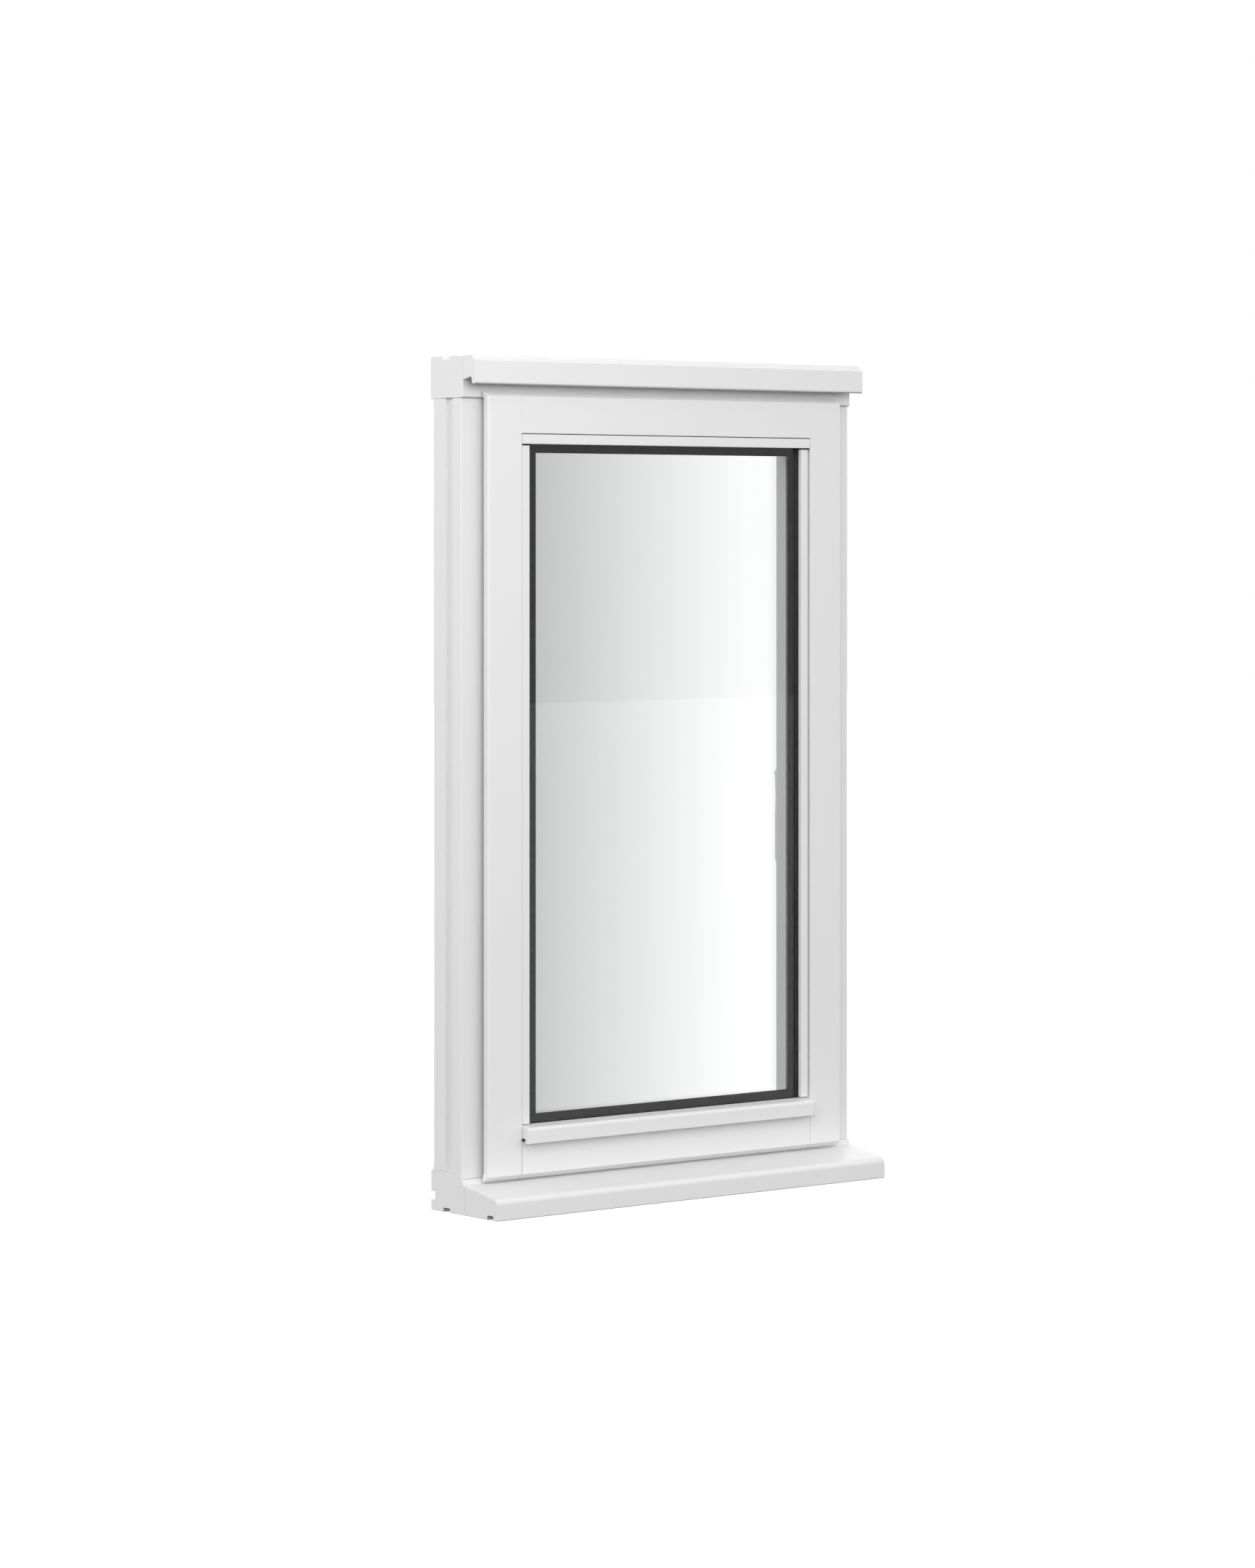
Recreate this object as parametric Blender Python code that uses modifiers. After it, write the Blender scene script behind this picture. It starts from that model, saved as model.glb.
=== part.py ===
"""A painted timber stormproof casement window: frame, lipped sash, sealed glass unit, stays and lock.

Units are metres. X runs along the window to the right as seen from outside, -Y is outside and
Z is up. The origin is on the underside of the sill, midway along it, in the plane of the jambs' faces.
"""

import math

import bmesh
import bpy
from mathutils import Matrix

MM = 0.001

# Driving sizes of the frame.
FRAME_WIDTH = 625 * MM
FRAME_HEIGHT = 1045 * MM
STOP_DEPTH = 16 * MM
JAMB_FACE = 36 * MM
STOP_HEIGHT = 20 * MM
STOP_CLEARANCE = 3 * MM
HEAD_FACE_PROUD = 4 * MM
HEAD_BACK_PROUD = 4.5 * MM
HEAD_HEIGHT = 51.5 * MM
SILL_BACK_PROUD = 4 * MM
SILL_UPSTAND = 43.2 * MM
SILL_SEAT = 44 * MM
SILL_SHOULDER = 49.1 * MM
SILL_SHOULDER_FROM_FACE = 38 * MM
SILL_SLOPE_TOP = 36.8 * MM
SILL_SLOPE = math.radians(9.3)
SILL_JOINT_PROUD = 7 * MM
NOSING_PROUD = 72.5 * MM
DRIP_PROUD = 29.5 * MM
DRIP_HEIGHT = 35 * MM
GROOVE_WIDTH = 14 * MM
GROOVE_DEPTH = 4 * MM

# Driving sizes of the sash and its glass.
SIDE_LAP = 8.5 * MM
SASH_PROUD = 18.5 * MM
LIP_THICKNESS = 11.5 * MM
SASH_THICKNESS = 57 * MM
HEAD_LAP = 8.5 * MM
SILL_LAP = 4.7 * MM
AIR_GAP = 13 * MM
FACE_WIDTH = 52 * MM
TOP_FACE = 51 * MM
BOTTOM_FACE = 45.8 * MM
NIB_WIDTH = 15 * MM
BEVEL_DEPTH = 9.5 * MM
BEVEL_HEIGHT = 6.2 * MM
GLASS_SETBACK = 8.5 * MM
PANE = 4 * MM
CAVITY = 16 * MM
TAPE = 2 * MM
UNIT_SIDE_GAP = 8.8 * MM
UNIT_TOP_GAP = 3.2 * MM
UNIT_BOTTOM_GAP = 9.8 * MM
SPACER_WIDTH = 20 * MM

# Driving sizes of the stays, the lock and the handle.
STAY_FROM_FACE = 12 * MM
STAY_WIDTH = 19 * MM
NOSE_FROM_BODY = 9 * MM
SHORT_ARM = 50 * MM
PIVOT_SPACING = 200 * MM
ARM_WIDTH = 14 * MM
PLATE = 1.8 * MM
RIVET = 2.7 * MM
RIVET_HEAD = 4.5 * MM
LOCK_FROM_BACK = 15.5 * MM
BACKSET = 18.5 * MM
LEVER_LENGTH = 118 * MM
BASE_WIDTH = 22 * MM
BASE_HEIGHT = 150 * MM
ROD_TRAVEL = 18 * MM
CAM_SPREAD = 0.6

# Clearances and small roundings.
GAP = 0.3 * MM
PLAY = 0.4 * MM
ARRIS = 1.2 * MM
SOFT_ARRIS = 3 * MM
ARC_STEPS = 5

# Places that follow from the sizes.
HALF = FRAME_WIDTH / 2
STOP_FROM_FACE = SASH_THICKNESS - SASH_PROUD + STOP_CLEARANCE
JAMB_DEPTH = STOP_FROM_FACE + STOP_DEPTH
HEAD_BACK = JAMB_DEPTH + HEAD_BACK_PROUD
SILL_BACK = JAMB_DEPTH + SILL_BACK_PROUD
HEAD_SOFFIT = FRAME_HEIGHT - HEAD_HEIGHT
SASH_FRONT = -SASH_PROUD
LIP_BACK = SASH_FRONT + LIP_THICKNESS
SASH_BACK = SASH_FRONT + SASH_THICKNESS
LIP_LEFT = -HALF + JAMB_FACE - SIDE_LAP
LIP_TOP = HEAD_SOFFIT + HEAD_LAP
LIP_BOTTOM = SILL_UPSTAND - SILL_LAP
BODY_LEFT = -HALF + JAMB_FACE + AIR_GAP
BODY_TOP = HEAD_SOFFIT - AIR_GAP
BODY_BOTTOM = SILL_SEAT + AIR_GAP
HANDLE_HEIGHT = (BODY_TOP + BODY_BOTTOM) / 2
CAM_SPACING = CAM_SPREAD * (BODY_TOP - BODY_BOTTOM)
REBATE_LEFT = LIP_LEFT + FACE_WIDTH
REBATE_TOP = LIP_TOP - TOP_FACE
REBATE_BOTTOM = LIP_BOTTOM + BOTTOM_FACE
GLASS_FRONT = SASH_FRONT + GLASS_SETBACK
GLASS_BACK = GLASS_FRONT + 2 * PANE + CAVITY
REBATE_BACK = GLASS_BACK + TAPE
NIB_LEFT = REBATE_LEFT + NIB_WIDTH
NIB_TOP = REBATE_TOP - NIB_WIDTH
NIB_BOTTOM = REBATE_BOTTOM + NIB_WIDTH + UNIT_BOTTOM_GAP
UNIT_LEFT = REBATE_LEFT + UNIT_SIDE_GAP
UNIT_TOP = REBATE_TOP - UNIT_TOP_GAP
UNIT_BOTTOM = REBATE_BOTTOM + UNIT_BOTTOM_GAP
STOP_LEFT = -HALF + JAMB_FACE + STOP_HEIGHT
NOSE_X = BODY_LEFT + NOSE_FROM_BODY
SHORT_PIVOT_X = NOSE_X + SHORT_ARM
LONG_PIVOT_X = SHORT_PIVOT_X + PIVOT_SPACING
BAR_PIVOT = PIVOT_SPACING * SHORT_ARM / (4 * SHORT_ARM + PIVOT_SPACING)
LONG_ARM = PIVOT_SPACING + SHORT_ARM - BAR_PIVOT
BAR_PIVOT_X = NOSE_X + BAR_PIVOT
BODY_RIGHT = -BODY_LEFT
SPINDLE_X = BODY_RIGHT - BACKSET

# How an outline's own plane stands in the world: the outline's axes and the way it is extruded.
ALONG_X = Matrix(((0, 0, 1, 0), (1, 0, 0, 0), (0, 1, 0, 0), (0, 0, 0, 1)))
ALONG_Y = Matrix(((1, 0, 0, 0), (0, 0, -1, 0), (0, 1, 0, 0), (0, 0, 0, 1)))
ALONG_Z = Matrix.Identity(4)


def clear_scene():
    for obj in list(bpy.data.objects):
        bpy.data.objects.remove(obj, do_unlink=True)


def new_collection(name, hidden):
    collection = bpy.data.collections.new(name)
    bpy.context.scene.collection.children.link(collection)
    collection.hide_render = hidden
    return collection


def finish(name, colour, roughness, metallic=0.0, transmission=0.0):
    material = bpy.data.materials.new(name)
    material.use_nodes = True
    shader = material.node_tree.nodes["Principled BSDF"]
    shader.inputs["Base Color"].default_value = (*colour, 1)
    shader.inputs["Roughness"].default_value = roughness
    shader.inputs["Metallic"].default_value = metallic
    shader.inputs["Transmission Weight"].default_value = transmission
    material.diffuse_color = (*colour, 1)
    return material


clear_scene()
WINDOW = new_collection("casement_window", hidden=False)
CUTTERS = new_collection("cutters", hidden=True)

PAINT = finish("white_paint", (0.83, 0.83, 0.82), 0.35)
GLASS = finish("clear_glass", (0.93, 0.95, 0.95), 0.02, transmission=1.0)
SPACER = finish("black_spacer", (0.012, 0.012, 0.012), 0.45)
RUBBER = finish("grey_seal", (0.12, 0.12, 0.12), 0.6)
STEEL = finish("stainless_steel", (0.56, 0.55, 0.53), 0.32, metallic=1.0)
ZINC = finish("zinc_plate", (0.62, 0.61, 0.58), 0.38, metallic=1.0)
HANDLE = finish("white_enamel", (0.86, 0.86, 0.85), 0.22)
CHROME = finish("satin_chrome", (0.66, 0.66, 0.65), 0.2, metallic=1.0)
NYLON = finish("black_nylon", (0.03, 0.03, 0.03), 0.5)


def rounded(corners):
    """The points of an outline whose corners are (u, v) or (u, v, radius of the rounding there)."""
    points = []
    count = len(corners)
    for index, corner in enumerate(corners):
        u, v = corner[:2]
        if len(corner) == 2:
            points.append((u, v))
            continue
        before, after = corners[index - 1], corners[(index + 1) % count]
        in_angle = math.atan2(before[1] - v, before[0] - u)
        out_angle = math.atan2(after[1] - v, after[0] - u)
        turn = (out_angle - in_angle + math.pi) % (2 * math.pi) - math.pi
        reach = corner[2] / math.tan(abs(turn) / 2)
        middle = in_angle + turn / 2
        centre_reach = corner[2] / math.sin(abs(turn) / 2)
        centre_u = u + centre_reach * math.cos(middle)
        centre_v = v + centre_reach * math.sin(middle)
        start_u = u + reach * math.cos(in_angle)
        start_v = v + reach * math.sin(in_angle)
        start = math.atan2(start_v - centre_v, start_u - centre_u)
        sweep = math.copysign(math.pi - abs(turn), -turn)
        for step in range(ARC_STEPS + 1):
            angle = start + sweep * step / ARC_STEPS
            points.append((centre_u + corner[2] * math.cos(angle), centre_v + corner[2] * math.sin(angle)))
    return points


def circle(u, v, radius, steps=16):
    turns = [2 * math.pi * step / steps for step in range(steps)]
    return [(u + radius * math.cos(turn), v + radius * math.sin(turn)) for turn in turns]


def slot(u, v, length, radius):
    """A round-ended outline that lies along v, centred on (u, v)."""
    half = length / 2
    corners = ((-radius, -half), (radius, -half), (radius, half), (-radius, half))
    return rounded([(u + du, v + dv, radius * 0.999) for du, dv in corners])


def place(obj, collection, material):
    collection.objects.link(obj)
    if material:
        obj.data.materials.clear()
        obj.data.materials.append(material)
    if collection is CUTTERS:
        obj.hide_render = True
        obj.display_type = "WIRE"
    return obj


def mesh_object(name, bm, collection, material, matrix=ALONG_Z):
    mesh = bpy.data.meshes.new(name)
    bmesh.ops.remove_doubles(bm, verts=bm.verts, dist=0.001 * MM)
    bmesh.ops.recalc_face_normals(bm, faces=bm.faces)
    bm.to_mesh(mesh)
    bm.free()
    obj = bpy.data.objects.new(name, mesh)
    obj.matrix_world = matrix
    return place(obj, collection, material)


def prism(name, outlines, start, end, way, material, collection=WINDOW):
    """A flat outline, with any holes after it, extruded from start to end along the way's third axis."""
    curve = bpy.data.curves.new(name, "CURVE")
    curve.dimensions = "2D"
    curve.fill_mode = "BOTH"
    curve.extrude = abs(end - start) / 2
    for outline in outlines:
        spline = curve.splines.new("POLY")
        spline.points.add(len(outline) - 1)
        spline.use_cyclic_u = True
        for point, (u, v) in zip(spline.points, outline):
            point.co = (u, v, 0, 1)
    guide = bpy.data.objects.new(name, curve)
    bpy.context.scene.collection.objects.link(guide)
    evaluated = guide.evaluated_get(bpy.context.evaluated_depsgraph_get())
    bm = bmesh.new()
    mesh = bpy.data.meshes.new_from_object(evaluated)
    bm.from_mesh(mesh)
    bpy.data.meshes.remove(mesh)
    bpy.data.objects.remove(guide, do_unlink=True)
    bpy.data.curves.remove(curve)
    middle = way @ Matrix.Translation((0, 0, (start + end) / 2))
    return mesh_object(name, bm, collection, material, middle)


def box(name, low, high, material=None, collection=WINDOW):
    bm = bmesh.new()
    bmesh.ops.create_cube(bm, size=1)
    for axis in range(3):
        for vert in bm.verts:
            vert.co[axis] = low[axis] if vert.co[axis] < 0 else high[axis]
    return mesh_object(name, bm, collection, material)


def turned(name, profile, way, material, steps=20):
    """A turned piece: the (radius, height) profile runs down its outer side, from axis to axis."""
    mesh = bpy.data.meshes.new(name)
    mesh.from_pydata([(r, 0, h) for r, h in profile], [(i, i + 1) for i in range(len(profile) - 1)], [])
    obj = bpy.data.objects.new(name, mesh)
    obj.matrix_world = way
    screw = obj.modifiers.new("turn", "SCREW")
    screw.steps = steps
    screw.render_steps = steps
    screw.use_merge_vertices = True
    screw.merge_threshold = 0.01 * MM
    return place(obj, WINDOW, material)


def cutter_box(name, low, high):
    return box(name, low, high, collection=CUTTERS)


def change(target, tool, operation="DIFFERENCE"):
    modifier = target.modifiers.new(tool.name, "BOOLEAN")
    modifier.operation = operation
    modifier.solver = "EXACT"
    modifier.object = tool


def mirrored(outline, mirror):
    return [(-u, v) for u, v in outline] if mirror else outline


def hang_on(empty_name, location, pieces):
    """Parents moving pieces to an empty that stands on their joint's axis."""
    axis = bpy.data.objects.new(empty_name, None)
    axis.location = location
    axis.empty_display_size = 20 * MM
    WINDOW.objects.link(axis)
    bpy.context.view_layer.update()
    for piece in pieces:
        piece.parent = axis
        piece.matrix_parent_inverse = axis.matrix_world.inverted()


# ---------------------------------------------------------------- frame
def slope_height(y):
    """Height of the sill's weathered slope at a depth y in front of the jambs' faces."""
    return SILL_SLOPE_TOP + math.tan(SILL_SLOPE) * (y + HEAD_FACE_PROUD)


def make_head():
    front, top = -HEAD_FACE_PROUD, FRAME_HEIGHT
    groove_front = HEAD_BACK - 38.5 * MM
    corners = [
        (front, top - ARRIS), (front + ARRIS, top),
        (groove_front, top), (groove_front, top - GROOVE_DEPTH),
        (groove_front + GROOVE_WIDTH, top - GROOVE_DEPTH), (groove_front + GROOVE_WIDTH, top),
        (HEAD_BACK, top, ARRIS), (HEAD_BACK, HEAD_SOFFIT - STOP_HEIGHT, ARRIS),
        (STOP_FROM_FACE, HEAD_SOFFIT - STOP_HEIGHT, ARRIS), (STOP_FROM_FACE, HEAD_SOFFIT),
        (front, HEAD_SOFFIT, 2 * ARRIS),
    ]
    head = prism("head", [rounded(corners)], -HALF, HALF, ALONG_X, PAINT)
    for side, sign in (("left", -1), ("right", 1)):
        ends = sorted((sign * (-STOP_LEFT - GAP), sign * (HALF + 1 * MM)))
        low = (ends[0], STOP_FROM_FACE - 1 * MM, HEAD_SOFFIT - STOP_HEIGHT - 1 * MM)
        high = (ends[1], HEAD_BACK + 1 * MM, HEAD_SOFFIT)
        change(head, cutter_box(side + "_head_shoulder", low, high))
    return head


def make_drip_mould():
    back, front, top = -HEAD_FACE_PROUD - GAP, -DRIP_PROUD, FRAME_HEIGHT
    foot = top - DRIP_HEIGHT
    step, step_height, quirk = front + 6.5 * MM, 3 * MM, 3 * MM
    lip = 7 * MM
    corners = [
        (back, top - quirk), (back - quirk, top), (step, top, 0.6 * MM), (step, top - step_height),
        (front, top - 6.6 * MM, 0.8 * MM), (front, foot, SOFT_ARRIS), (front + lip, foot, 1.8 * MM),
        (front + lip + 1.6 * MM, foot + 9 * MM, 1.4 * MM), (back, foot + 5 * MM),
    ]
    return prism("head_drip_mould", [rounded(corners)], -HALF, HALF, ALONG_X, PAINT)


def make_sill():
    front, joint = -HEAD_FACE_PROUD, -SILL_JOINT_PROUD
    board_low, board_high, board_depth = 13.5 * MM, 23 * MM, 8.2 * MM
    groove_front = SILL_BACK - 38.8 * MM
    corners = [
        (joint, slope_height(joint)), (front, SILL_SLOPE_TOP, 0.8 * MM),
        (front, SILL_UPSTAND, 3.2 * MM), (0, SILL_UPSTAND, 0.8 * MM),
        (SILL_SHOULDER_FROM_FACE, SILL_SHOULDER), (STOP_FROM_FACE, SILL_SHOULDER),
        (STOP_FROM_FACE, SILL_SEAT + STOP_HEIGHT, ARRIS), (SILL_BACK, SILL_SEAT + STOP_HEIGHT, ARRIS),
        (SILL_BACK, board_high), (SILL_BACK - board_depth, board_high),
        (SILL_BACK - board_depth, board_low), (SILL_BACK, board_low),
        (SILL_BACK, 0, ARRIS), (groove_front + GROOVE_WIDTH, 0),
        (groove_front + GROOVE_WIDTH, GROOVE_DEPTH + 1 * MM), (groove_front, GROOVE_DEPTH + 1 * MM),
        (groove_front, 0), (joint + 2 * ARRIS, 0), (joint, ARRIS),
    ]
    sill = prism("sill", [rounded(corners)], -HALF, HALF, ALONG_X, PAINT)
    seat_end = HALF - JAMB_FACE
    seat_low = (-seat_end, 5 * MM, SILL_SEAT)
    seat_high = (seat_end, STOP_FROM_FACE, SILL_SHOULDER + 5 * MM)
    change(sill, cutter_box("sill_seat", seat_low, seat_high))
    for side, sign in (("left", -1), ("right", 1)):
        ends = sorted((sign * (-STOP_LEFT - GAP), sign * (HALF + 1 * MM)))
        low = (ends[0], STOP_FROM_FACE - 1 * MM, SILL_SHOULDER)
        high = (ends[1], SILL_BACK + 1 * MM, SILL_SEAT + STOP_HEIGHT + 1 * MM)
        change(sill, cutter_box(side + "_sill_shoulder", low, high))
    return sill


def make_sill_nosing():
    back, front = -SILL_JOINT_PROUD - GAP, -NOSING_PROUD
    throat_front, throat_width, throat_depth = front + 7.8 * MM, 12 * MM, 5.5 * MM
    corners = [
        (back, slope_height(back)), (front, slope_height(front), 7.5 * MM),
        (front, 0, ARRIS), (throat_front, 0, 0.8 * MM),
        (throat_front, throat_depth, 2 * MM), (throat_front + throat_width, throat_depth, 3 * MM),
        (throat_front + throat_width, 0, 0.8 * MM), (back - 2 * ARRIS, 0), (back, ARRIS),
    ]
    return prism("sill_nosing", [rounded(corners)], -HALF, HALF, ALONG_X, PAINT)


def make_jamb(side, mirror):
    groove_front = 17.9 * MM
    corners = [
        (-HALF, 0, ARRIS), (-HALF + JAMB_FACE, 0, ARRIS), (-HALF + JAMB_FACE, STOP_FROM_FACE),
        (STOP_LEFT, STOP_FROM_FACE, ARRIS), (STOP_LEFT, JAMB_DEPTH, SOFT_ARRIS),
        (-HALF, JAMB_DEPTH, SOFT_ARRIS), (-HALF, groove_front + GROOVE_WIDTH),
        (-HALF + GROOVE_DEPTH, groove_front + GROOVE_WIDTH), (-HALF + GROOVE_DEPTH, groove_front),
        (-HALF, groove_front),
    ]
    outline = mirrored(rounded(corners), mirror)
    foot = SILL_UPSTAND - 10 * MM
    jamb = prism(side + "_jamb", [outline], foot, HEAD_SOFFIT - GAP, ALONG_Z, PAINT)
    rise = (SILL_SHOULDER - SILL_UPSTAND) / SILL_SHOULDER_FROM_FACE
    seat = [
        (-5 * MM, SILL_UPSTAND - 5 * MM * rise + GAP), (SILL_SHOULDER_FROM_FACE, SILL_SHOULDER + GAP),
        (JAMB_DEPTH + 5 * MM, SILL_SHOULDER + GAP), (JAMB_DEPTH + 5 * MM, 0), (-5 * MM, 0),
    ]
    ends = (-HALF - 5 * MM, STOP_LEFT + 5 * MM)
    start, end = (-ends[1], -ends[0]) if mirror else ends
    change(jamb, prism(side + "_jamb_foot", [seat], start, end, ALONG_X, None, CUTTERS))
    return jamb


def seal_outline(across, facing):
    """A flat-backed bulb seal on the stop's face, centred on across, that reaches almost to the sash."""
    half_width = 3.4 * MM
    back, front = STOP_FROM_FACE - GAP, SASH_BACK + GAP
    corners = [(back, -half_width), (back, half_width), (front, half_width, 1.5 * MM)]
    corners.append((front, -half_width, 1.5 * MM))
    points = [(y, across + v) for y, v in rounded(corners)]
    return [(v, y) for y, v in points] if facing == "side" else points


def make_seals():
    lap = (STOP_HEIGHT - AIR_GAP) / 2
    across = STOP_LEFT - lap - 0.2 * MM
    low, high = SILL_SHOULDER + 1 * MM, HEAD_SOFFIT - 1 * MM
    for side, mirror in (("left", False), ("right", True)):
        outline = mirrored(seal_outline(across, "side"), mirror)
        prism(side + "_jamb_seal", [outline], low, high, ALONG_Z, RUBBER)
    end = across + 3.4 * MM + GAP
    head_line = HEAD_SOFFIT - AIR_GAP - lap
    sill_line = SILL_SEAT + AIR_GAP + lap
    prism("head_seal", [seal_outline(head_line, "up")], end, -end, ALONG_X, RUBBER)
    prism("sill_seal", [seal_outline(sill_line, "up")], end, -end, ALONG_X, RUBBER)


# ---------------------------------------------------------------- sash
def bevel_outline(edge, way):
    """The wedge that bevels the front of the sash's top edge (way 1) or bottom edge (way -1)."""
    beyond = 2 * MM
    back = SASH_FRONT + BEVEL_DEPTH
    slope = BEVEL_HEIGHT / BEVEL_DEPTH
    return [
        (SASH_FRONT - beyond, edge - way * (BEVEL_HEIGHT + beyond * slope)),
        (back, edge), (back, edge + way * beyond), (SASH_FRONT - beyond, edge + way * beyond),
    ]


def make_stile(side, mirror):
    corners = [
        (LIP_LEFT, SASH_FRONT, SOFT_ARRIS + 0.5 * MM), (REBATE_LEFT, SASH_FRONT, 0.8 * MM),
        (REBATE_LEFT, REBATE_BACK), (NIB_LEFT, REBATE_BACK, 0.8 * MM), (NIB_LEFT, SASH_BACK, 5 * MM),
        (BODY_LEFT, SASH_BACK, SOFT_ARRIS), (BODY_LEFT, LIP_BACK), (LIP_LEFT, LIP_BACK, 0.8 * MM),
    ]
    outline = mirrored(rounded(corners), mirror)
    name = side + "_stile"
    stile = prism(name, [outline], LIP_BOTTOM, LIP_TOP, ALONG_Z, PAINT)
    beyond = 5 * MM
    ends = sorted((-1 * (LIP_LEFT - beyond), -1 * (NIB_LEFT + beyond))) if mirror else (
        LIP_LEFT - beyond, NIB_LEFT + beyond)
    low, high = (ends[0], LIP_BACK, LIP_BOTTOM - beyond), (ends[1], SASH_BACK + beyond, BODY_BOTTOM)
    change(stile, cutter_box(name + "_bottom_shoulder", low, high))
    low, high = (ends[0], LIP_BACK, BODY_TOP), (ends[1], SASH_BACK + beyond, LIP_TOP + beyond)
    change(stile, cutter_box(name + "_top_shoulder", low, high))
    top_wedge = bevel_outline(LIP_TOP, 1)
    bottom_wedge = bevel_outline(LIP_BOTTOM, -1)
    change(stile, prism(name + "_top_bevel", [top_wedge], *ends, ALONG_X, None, CUTTERS))
    change(stile, prism(name + "_bottom_bevel", [bottom_wedge], *ends, ALONG_X, None, CUTTERS))
    relief = sorted((sign * (LIP_LEFT + offset) for sign, offset in ((1, -beyond), (1, 4 * MM))))
    if mirror:
        relief = [-relief[1], -relief[0]]
    low = (relief[0], LIP_BACK - 2.6 * MM, SILL_UPSTAND + SILL_LAP)
    high = (relief[1], LIP_BACK + beyond, HEAD_SOFFIT)
    change(stile, cutter_box(name + "_back_groove", low, high))
    return stile


def make_rails():
    end = REBATE_LEFT + GAP
    top = [
        (SASH_FRONT, REBATE_TOP, 0.8 * MM), (SASH_FRONT, LIP_TOP - BEVEL_HEIGHT, 0.8 * MM),
        (SASH_FRONT + BEVEL_DEPTH, LIP_TOP, ARRIS), (LIP_BACK, LIP_TOP), (LIP_BACK, BODY_TOP),
        (SASH_BACK, BODY_TOP, SOFT_ARRIS), (SASH_BACK, NIB_TOP, 5 * MM), (REBATE_BACK, NIB_TOP, 0.8 * MM),
        (REBATE_BACK, REBATE_TOP),
    ]
    bottom = [
        (SASH_FRONT, REBATE_BOTTOM, 0.8 * MM), (SASH_FRONT, LIP_BOTTOM + BEVEL_HEIGHT, 0.8 * MM),
        (SASH_FRONT + BEVEL_DEPTH, LIP_BOTTOM, ARRIS), (LIP_BACK, LIP_BOTTOM), (LIP_BACK, BODY_BOTTOM),
        (SASH_BACK, BODY_BOTTOM, SOFT_ARRIS), (SASH_BACK, NIB_BOTTOM, 5 * MM),
        (REBATE_BACK, NIB_BOTTOM, 0.8 * MM), (REBATE_BACK, REBATE_BOTTOM + 3 * MM),
    ]
    top_rail = prism("top_rail", [rounded(top)], end, -end, ALONG_X, PAINT)
    bottom_rail = prism("bottom_rail", [rounded(bottom)], end, -end, ALONG_X, PAINT)
    for rail in (top_rail, bottom_rail):
        for sign, way in ((-1, "left"), (1, "right")):
            ends = sorted((sign * -end, sign * (-end - NIB_WIDTH)))
            low = (ends[0] - (GAP if sign < 0 else 0), REBATE_BACK - GAP, REBATE_BOTTOM - 5 * MM)
            high = (ends[1] + (GAP if sign > 0 else 0), SASH_BACK + GAP, BODY_TOP + 5 * MM)
            low = (low[0], low[1], BODY_BOTTOM - 5 * MM)
            change(rail, cutter_box(rail.name + "_" + way + "_scribe", low, high))
    return top_rail, bottom_rail


BEAD_BACK = GLASS_FRONT - PLAY
BEAD_SIGHT = 13.7 * MM
TOP_BEAD_SIGHT = 13 * MM
WEATHER_BEAD_TOP = REBATE_BOTTOM + 20.9 * MM


def make_beads():
    pieces = []
    inner, outer = REBATE_LEFT + BEAD_SIGHT, REBATE_LEFT + 2 * MM
    front = SASH_FRONT + 2.5 * MM
    tail = UNIT_LEFT - PLAY
    corners = [
        (outer, front, 0.8 * MM), (inner, front, 0.8 * MM), (inner, BEAD_BACK), (tail, BEAD_BACK),
        (tail, GLASS_BACK - 6 * MM), (outer, GLASS_BACK - 6 * MM),
    ]
    top, bottom = REBATE_TOP - TOP_BEAD_SIGHT - 1.5 * MM, WEATHER_BEAD_TOP + GAP
    for side, mirror in (("left", False), ("right", True)):
        outline = mirrored(rounded(corners), mirror)
        pieces.append(prism(side + "_bead", [outline], bottom, top, ALONG_Z, PAINT))
    flush = SASH_FRONT + GAP
    low, high = REBATE_TOP - TOP_BEAD_SIGHT, REBATE_TOP - 0.7 * MM
    corners = [(flush, low, 0.8 * MM), (flush, high, 0.8 * MM), (BEAD_BACK, high), (BEAD_BACK, low)]
    end = REBATE_LEFT + 0.8 * MM
    pieces.append(prism("top_bead", [rounded(corners)], end, -end, ALONG_X, PAINT))
    return pieces


def weather_bead_corners(grow):
    """Section of the projecting bottom bead, and of its end caps, which stand proud of it by grow."""
    front, foot = SASH_FRONT - 12 * MM - grow, REBATE_BOTTOM - 1.8 * MM - grow
    lip, shoulder = 6.6 * MM, REBATE_BOTTOM + 3.9 * MM
    return [
        (BEAD_BACK, shoulder), (BEAD_BACK, WEATHER_BEAD_TOP - 0.5 * MM + grow),
        (front, WEATHER_BEAD_TOP - 3.2 * MM + grow, 4.6 * MM), (front, foot, ARRIS),
        (front + lip + grow, foot, ARRIS), (front + lip + grow, shoulder),
    ]


def make_weather_bead():
    cap, grow = 3 * MM, 0.4 * MM
    outer = REBATE_LEFT + GAP
    inner = outer + cap + GAP
    bead = prism("weather_bead", [rounded(weather_bead_corners(0))], inner, -inner, ALONG_X, PAINT)
    section = rounded(weather_bead_corners(grow))
    left = prism("left_bead_cap", [section], outer, outer + cap, ALONG_X, PAINT)
    right = prism("right_bead_cap", [section], -outer - cap, -outer, ALONG_X, PAINT)
    return [bead, left, right]


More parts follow.
